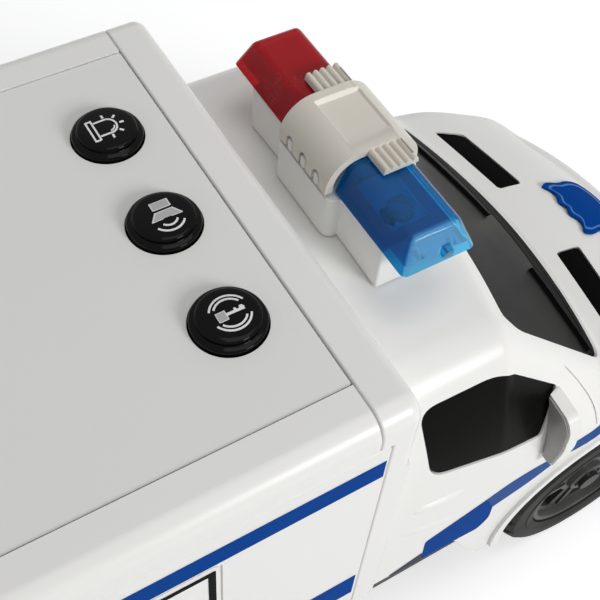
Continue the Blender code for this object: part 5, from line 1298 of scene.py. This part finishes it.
def make_saddle():
    """The saddle with its tabs, notches with lugs in them, a sunk field and a slit in each tab."""
    tab_low, tab_front = LENS_TOP_Z + GAP, LENS_FRONT_X - 2
    saddle = prism(saddle_outline(0, LENS_BASE_Z + GAP), -SADDLE_HALF, SADDLE_HALF, "Y")
    tabs = prism(tab_outline(tab_low, LENS_REAR_X + 6, tab_front), -SADDLE_HALF - TAB_REACH,
                 SADDLE_HALF + TAB_REACH, "Y")
    fuse(saddle, eased(tabs, 0.3, 3, 60))
    hollow = saddle_outline(SADDLE_WALL, LENS_BASE_Z - WALL)
    cut(saddle, prism(hollow, -SADDLE_HALF - WALL, SADDLE_HALF + WALL, "Y"))
    foot, lugs = LENS_BASE_Z - GAP, []
    for k in (-1, 0, 1):
        y = k * SADDLE_HALF * 0.56
        notch = [(y - NOTCH_HALF, foot - WALL), (y + NOTCH_HALF, foot - WALL)]
        notch += arc((y, foot + 2.3), NOTCH_HALF, 0, 180, 12)
        cut(saddle, prism(notch, LENS_REAR_X - 6, LENS_REAR_X - 0.5, "X"))
        lugs.append(block((LENS_REAR_X - 2.2, y - NOTCH_HALF + 2 * GAP, foot),
                          (LENS_REAR_X - 0.7, y + NOTCH_HALF - GAP, foot + 2.6), 0.5))
    piece(joined(lugs), "saddle_lugs", WHITE)
    floor = (SADDLE_TOP_Z - 0.9, LENS_MID_X - 3.6, LENS_FRONT_X - 2.6, -4.2, 5.9)
    mouth = (SADDLE_TOP_Z + 0.3, LENS_MID_X - 4.4, LENS_FRONT_X - 1.4, -7.3, 6.7)
    cut(saddle, from_bmesh(frustum(floor, mouth)))
    for side, _ in SIDES:
        near, far = span(side, SADDLE_HALF, SADDLE_HALF + TAB_REACH - 1.2)
        low, high = (tab_front - 0.9, near, tab_low + 0.5), (tab_front - 0.3, far, SADDLE_TOP_Z + WALL)
        cut(saddle, block(low, high))
    piece(baked(saddle), "lightbar_saddle", CREAM, angle=30)


def make_bar_base():
    """The solid of the lightbar's base, with its edges rolled over."""
    shape = bmesh.new()
    shape.from_mesh(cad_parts["lightbar_base"].data)
    bmesh.ops.scale(shape, vec=Vector((1, 1, 1)) / MM, verts=shape.verts[:])
    bmesh.ops.remove_doubles(shape, verts=shape.verts[:], dist=WELD * 10)
    flattened(shape)
    piece(eased(from_bmesh(shape), 0.3, 2, 50), "lightbar_base", WHITE)


make_lenses()
make_saddle()
make_bar_base()


# Wheels

TREAD_STEPS = 192
TREAD_PITCH = 8
TREAD_GAP = (0, 1)


def tread(radius, depth, phase):
    """A row of tread blocks: the radius at each step round the tyre."""
    return lambda i: radius - (depth if (i + phase) % TREAD_PITCH in TREAD_GAP else 0)


def make_tyre():
    """A tyre of profile rows, each a radius, fixed or by step, and a height."""
    half, bead, outer = TYRE_WIDTH / 2, RIM_RADIUS + GAP, TYRE_RADIUS
    deep, cavity = outer - 3, half - 2.8
    wall = [
        (bead, half - 0.6), (bead + 1.2, half - 0.25), (bead + 2.0, half), (bead + 2.4, half),
        (bead + 2.6, half - 0.25), (outer - 3.4, half - 0.2), (outer - 2.2, half - 0.3),
        (tread(outer - 1.1, 0.5, 0), half - 1.1), (tread(outer - 0.35, 0.9, 0), half - 2.6),
    ]
    crown = [(tread(outer, 0.8, 0), 3.9), (outer - 1.0, 3.6), (outer - 1.0, 3.0), (tread(outer, 0.8, 4), 2.7)]
    rows = wall + crown
    rows += [(r, -h) for r, h in reversed(rows)]
    rows += [(bead, -cavity), (deep, -cavity), (deep, cavity), (bead, cavity)]
    shape = bmesh.new()
    rings = []
    for i in range(TREAD_STEPS):
        turn = 2 * math.pi * i / TREAD_STEPS
        radii = [(r(i) if callable(r) else r, h) for r, h in rows]
        rings.append([shape.verts.new((r * math.cos(turn), r * math.sin(turn), h)) for r, h in radii])
    for near, far in zip(rings, rings[1:] + rings[:1]):
        ring_walls(shape, near, far)
    return from_bmesh(shape)


def make_rim():
    bore, hub, barrel, half = AXLE_RADIUS + GAP, 4.8, RIM_RADIUS - 1.6, TYRE_WIDTH / 2 - 1
    face, back = half - 2, half - 4.5
    profile = [
        (bore, face + 1.5), (hub - 0.5, face + 1.5), (hub, face + 1.2), (hub + 0.4, face),
        (barrel - 1.2, face - 0.2), (barrel - 0.4, face + 0.2), (barrel, half - 0.3), (barrel + 0.3, half),
        (RIM_RADIUS - 0.2, half), (RIM_RADIUS, half - 0.2), (RIM_RADIUS, -half), (barrel, -half),
        (barrel, back), (hub, back), (hub, -half + 3), (bore, -half + 3),
    ]
    rim = turned(profile, Matrix.Identity(4), 80, closed=True)
    step = 360 / SPOKES
    spread = step / 2 * 0.55
    extras = []
    for k in range(SPOKES):
        outer = arc((0, 0), barrel - 1.6, step * k - spread, step * k + spread, 8)
        inner = arc((0, 0), hub + 2, step * k + spread * 0.7, step * k - spread * 0.7, 4)
        cut(rim, prism(soft_corners(outer + inner, 0.5, 3), back - WALL, face + WALL, "Z"))
        turn = math.radians(step * (k + 0.5))
        spoke = Vector((math.cos(turn), math.sin(turn)))
        nut = spoke * 3.6
        extras.append(rod((*nut, face + 1.4), (*nut, face + 2.0), 0.55, 6, 0.45))
        rib = band([spoke * (hub + 1.2), spoke * (barrel - 1.4)], 1)
        extras.append(eased(prism(rib, face - 0.3, face + 0.45, "Z"), 0.2))
    return joined([baked(rim), *extras])


def make_wheels():
    for kind, made, material, angle in (("rim", make_rim(), RIM_GREY, 35), ("tyre", make_tyre(), TYRE, 28)):
        for side, word in SIDES:
            facing = Matrix.Rotation(-side * math.pi / 2, 4, "X")
            places = ((FRONT_AXLE_X, "front", f"front_wheel_{word}"), (REAR_AXLE_X, "rear", "rear_axle"))
            for x, end, body in places:
                mesh = made.data.copy()
                mesh.transform(Matrix.Translation((x, side * WHEEL_Y, AXLE_Z)) @ facing)
                piece(as_tool(mesh), f"{end}_{kind}_{word}", material, body, angle)
        bpy.data.objects.remove(made, do_unlink=True)


make_wheels()


# Rear end

REAR_FACE = BOX_REAR_X - GAP
REAR_OUTSIDE = REAR_FACE - 1.8
REAR_SUNK = REAR_OUTSIDE + 0.8
DOORS_HALF = BOX_HALF - 5 - 3 * GAP
HINGES_Z = (46, 60, 104)
TAIL_LOW = 48
TAIL_HIGH = 74


def rear_pane(side, inset, radius):
    inner, outer = span(side, 6 + inset, DOORS_HALF - 6 - inset)
    return rounded((inner, 74 + inset), (outer, 110 - inset), radius)


def make_rear_doors():
    outline = rounded((-DOORS_HALF, BUMPER_HIGH + GAP), (DOORS_HALF, ROOF_Z - ROOF_EDGE_RADIUS), 3)
    doors = eased(prism(outline, REAR_OUTSIDE, REAR_FACE, "X"), 0.4, 3, 60)
    cut(doors, block((REAR_OUTSIDE - WALL, -0.5, SILL_Z), (REAR_SUNK, 0.5, ROOF_Z)))
    for side, _ in SIDES:
        cut(doors, prism(rear_pane(side, 0, 3), REAR_OUTSIDE - WALL, REAR_SUNK, "X"))
    piece(baked(doors), "rear_doors", WHITE)
    for side, word in SIDES:
        pane = prism(rear_pane(side, 0.4, 2.7), REAR_SUNK - 0.5, REAR_SUNK + 0.02, "X")
        piece(eased(pane, 0.2), f"rear_pane_{word}", TINTED)
        seat = REAR_OUTSIDE + 0.1
        near, far = span(side, DOORS_HALF - 3.2, DOORS_HALF - 0.9)
        parts = [block((REAR_OUTSIDE - 0.9, near, z - 2.5), (seat, far, z + 2.5), 0.4) for z in HINGES_Z]
        near, far = span(side, 3, 11)
        parts.append(block((REAR_OUTSIDE - 1.1, near, 64), (seat, far, 66.6), 0.5))
        piece(joined(parts), f"rear_hinges_{word}", GREY)


def make_tail():
    """The tail lights and the rear bumper, with grooves across them."""
    for side, word in SIDES:
        near, far = span(side, DOORS_HALF + GAP, BOX_HALF - GAP)
        lamp = block((REAR_OUTSIDE, near, TAIL_LOW), (REAR_FACE, far, TAIL_HIGH), 0.6, 4)
        for k in (1, 2, 3):
            z = TAIL_LOW + (TAIL_HIGH - TAIL_LOW) * k / 4
            low = (REAR_OUTSIDE - WALL, near - WALL, z - 0.25)
            cut(lamp, block(low, (REAR_OUTSIDE + 0.3, far + WALL, z + 0.25)))
        piece(baked(lamp), f"tail_light_{word}", RED_LENS)
    rear, half = -LENGTH / 2, BOX_HALF - GAP
    bumper = block((rear, -half, BUMPER_LOW), (REAR_FACE, half, BUMPER_HIGH), 1.2, 4)
    for z in GROOVES_Z:
        cut(bumper, block((rear - WALL, -32, z - GROOVE_HALF), (rear + 0.6, 32, z + GROOVE_HALF)))
    piece(baked(bumper), "rear_bumper", GREY)


make_rear_doors()
make_tail()


# Solids that keep their own shape

KEPT = {
    CHASSIS: ("chassis", "speaker", "battery_cover", "gearbox_housing", "steering_bridge", "steering_motor",
              "tie_rod", "knuckle_left", "knuckle_right"),
    SILVER: ("power_switch",),
    CLEAR: ("light_board",),
    BOARD: ("button_board", "main_board"),
    CELL: ("battery_pack",),
    STEEL: ("battery_cover_screw", "drive_motor", "rear_axle"),
    BRASS: ("motor_pinion",),
    NYLON: ("idler_gear", "axle_gear", "servo_arm"),
}
for finish, names in KEPT.items():
    for name in names:
        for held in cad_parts[name].material_slots:
            held.material = finish


# Stage, light and camera, in metres

FLOOR_SIZE = 3
GLOW_NEAR = 0.46
GLOW_FAR = 1.0
GLOW_START = 0.22
GLOW_END = 0.7
WORLD_LIGHT = 0.29
LAMPS = {"key": ((0.45, -1.05, 0.62), 0.38, 7.5), "top": ((0.25, -0.1, 1.2), 0.7, 3.2)}
LAMP_TARGET = Vector((0.03, 0, 0.09))
CAMERA_LENS = 63.206
CAMERA_PLACE = (-0.044142, -0.11007, 0.264318)
CAMERA_RIGHT = (0.86046, -0.50652, 0.0553)
CAMERA_UP = (0.38607, 0.71894, 0.578)
CAMERA_BACK = (-0.33253, -0.47599, 0.81416)


def seen_directly(tree):
    """1 where the background is seen, also in gloss and through clear plastic."""
    ray = node(tree, "LightPath", {}).outputs
    seen = sums(tree, "MAXIMUM", ray["Is Camera Ray"], ray["Is Glossy Ray"])
    return sums(tree, "MAXIMUM", seen, ray["Is Transmission Ray"])


def make_stage():
    """A paper floor that takes shadows, and that glows to white away from the van where it is seen."""
    shape = bmesh.new()
    bmesh.ops.create_grid(shape, x_segments=8, y_segments=8, size=FLOOR_SIZE)
    floor = from_bmesh(shape, recalculate=False)
    floor.name = "floor"
    material = bpy.data.materials.new("floor_paper")
    material.use_nodes = True
    tree = material.node_tree
    tree.nodes.clear()
    colour = blended(tree, noise(tree, 9, 3), (0.86, 0.86, 0.86), (0.88, 0.88, 0.88))
    paper = node(tree, "BsdfDiffuse", {"Color": colour})
    where = node(tree, "TexCoord", {}).outputs["Object"]
    away = node(tree, "VectorMath", {0: where}, "LENGTH").outputs["Value"]
    level = ranged(tree, away, GLOW_NEAR, GLOW_FAR, GLOW_START, GLOW_END)
    glow = node(tree, "Emission", {"Strength": sums(tree, "MULTIPLY", seen_directly(tree), level)})
    both = node(tree, "AddShader", {0: paper.outputs["BSDF"], 1: glow.outputs["Emission"]})
    node(tree, "OutputMaterial", {"Surface": both.outputs["Shader"]})
    floor.data.materials.append(material)


def make_light():
    world = bpy.data.worlds.new("studio")
    bpy.context.scene.world = world
    world.use_nodes = True
    tree = world.node_tree
    tree.nodes.clear()
    soft = node(tree, "Background", {"Color": (0.98, 0.99, 1.0), "Strength": WORLD_LIGHT})
    white = node(tree, "Background", {"Color": (1, 1, 1), "Strength": 1})
    shaders = {0: seen_directly(tree), 1: soft.outputs["Background"], 2: white.outputs["Background"]}
    pick = node(tree, "MixShader", shaders)
    node(tree, "OutputWorld", {"Surface": pick.outputs["Shader"]})
    for name, (place, size, power) in LAMPS.items():
        lamp = bpy.data.lights.new(name, "AREA")
        lamp.shape = "SQUARE"
        lamp.size = size
        lamp.energy = power
        holder = bpy.data.objects.new(name, lamp)
        holder.location = place
        holder.rotation_euler = (LAMP_TARGET - Vector(place)).to_track_quat("-Z", "Y").to_euler()
        COLLECTION.objects.link(holder)


def make_camera():
    lens = bpy.data.cameras.new("camera")
    lens.lens = CAMERA_LENS
    lens.sensor_width = 36
    lens.clip_start = 0.01
    holder = bpy.data.objects.new("camera", lens)
    rows = list(zip(CAMERA_RIGHT, CAMERA_UP, CAMERA_BACK, CAMERA_PLACE))
    holder.matrix_world = Matrix([*rows, (0, 0, 0, 1)])
    COLLECTION.objects.link(holder)
    bpy.context.scene.camera = holder


make_stage()
make_light()
make_camera()
bpy.context.scene.view_settings.view_transform = "Standard"
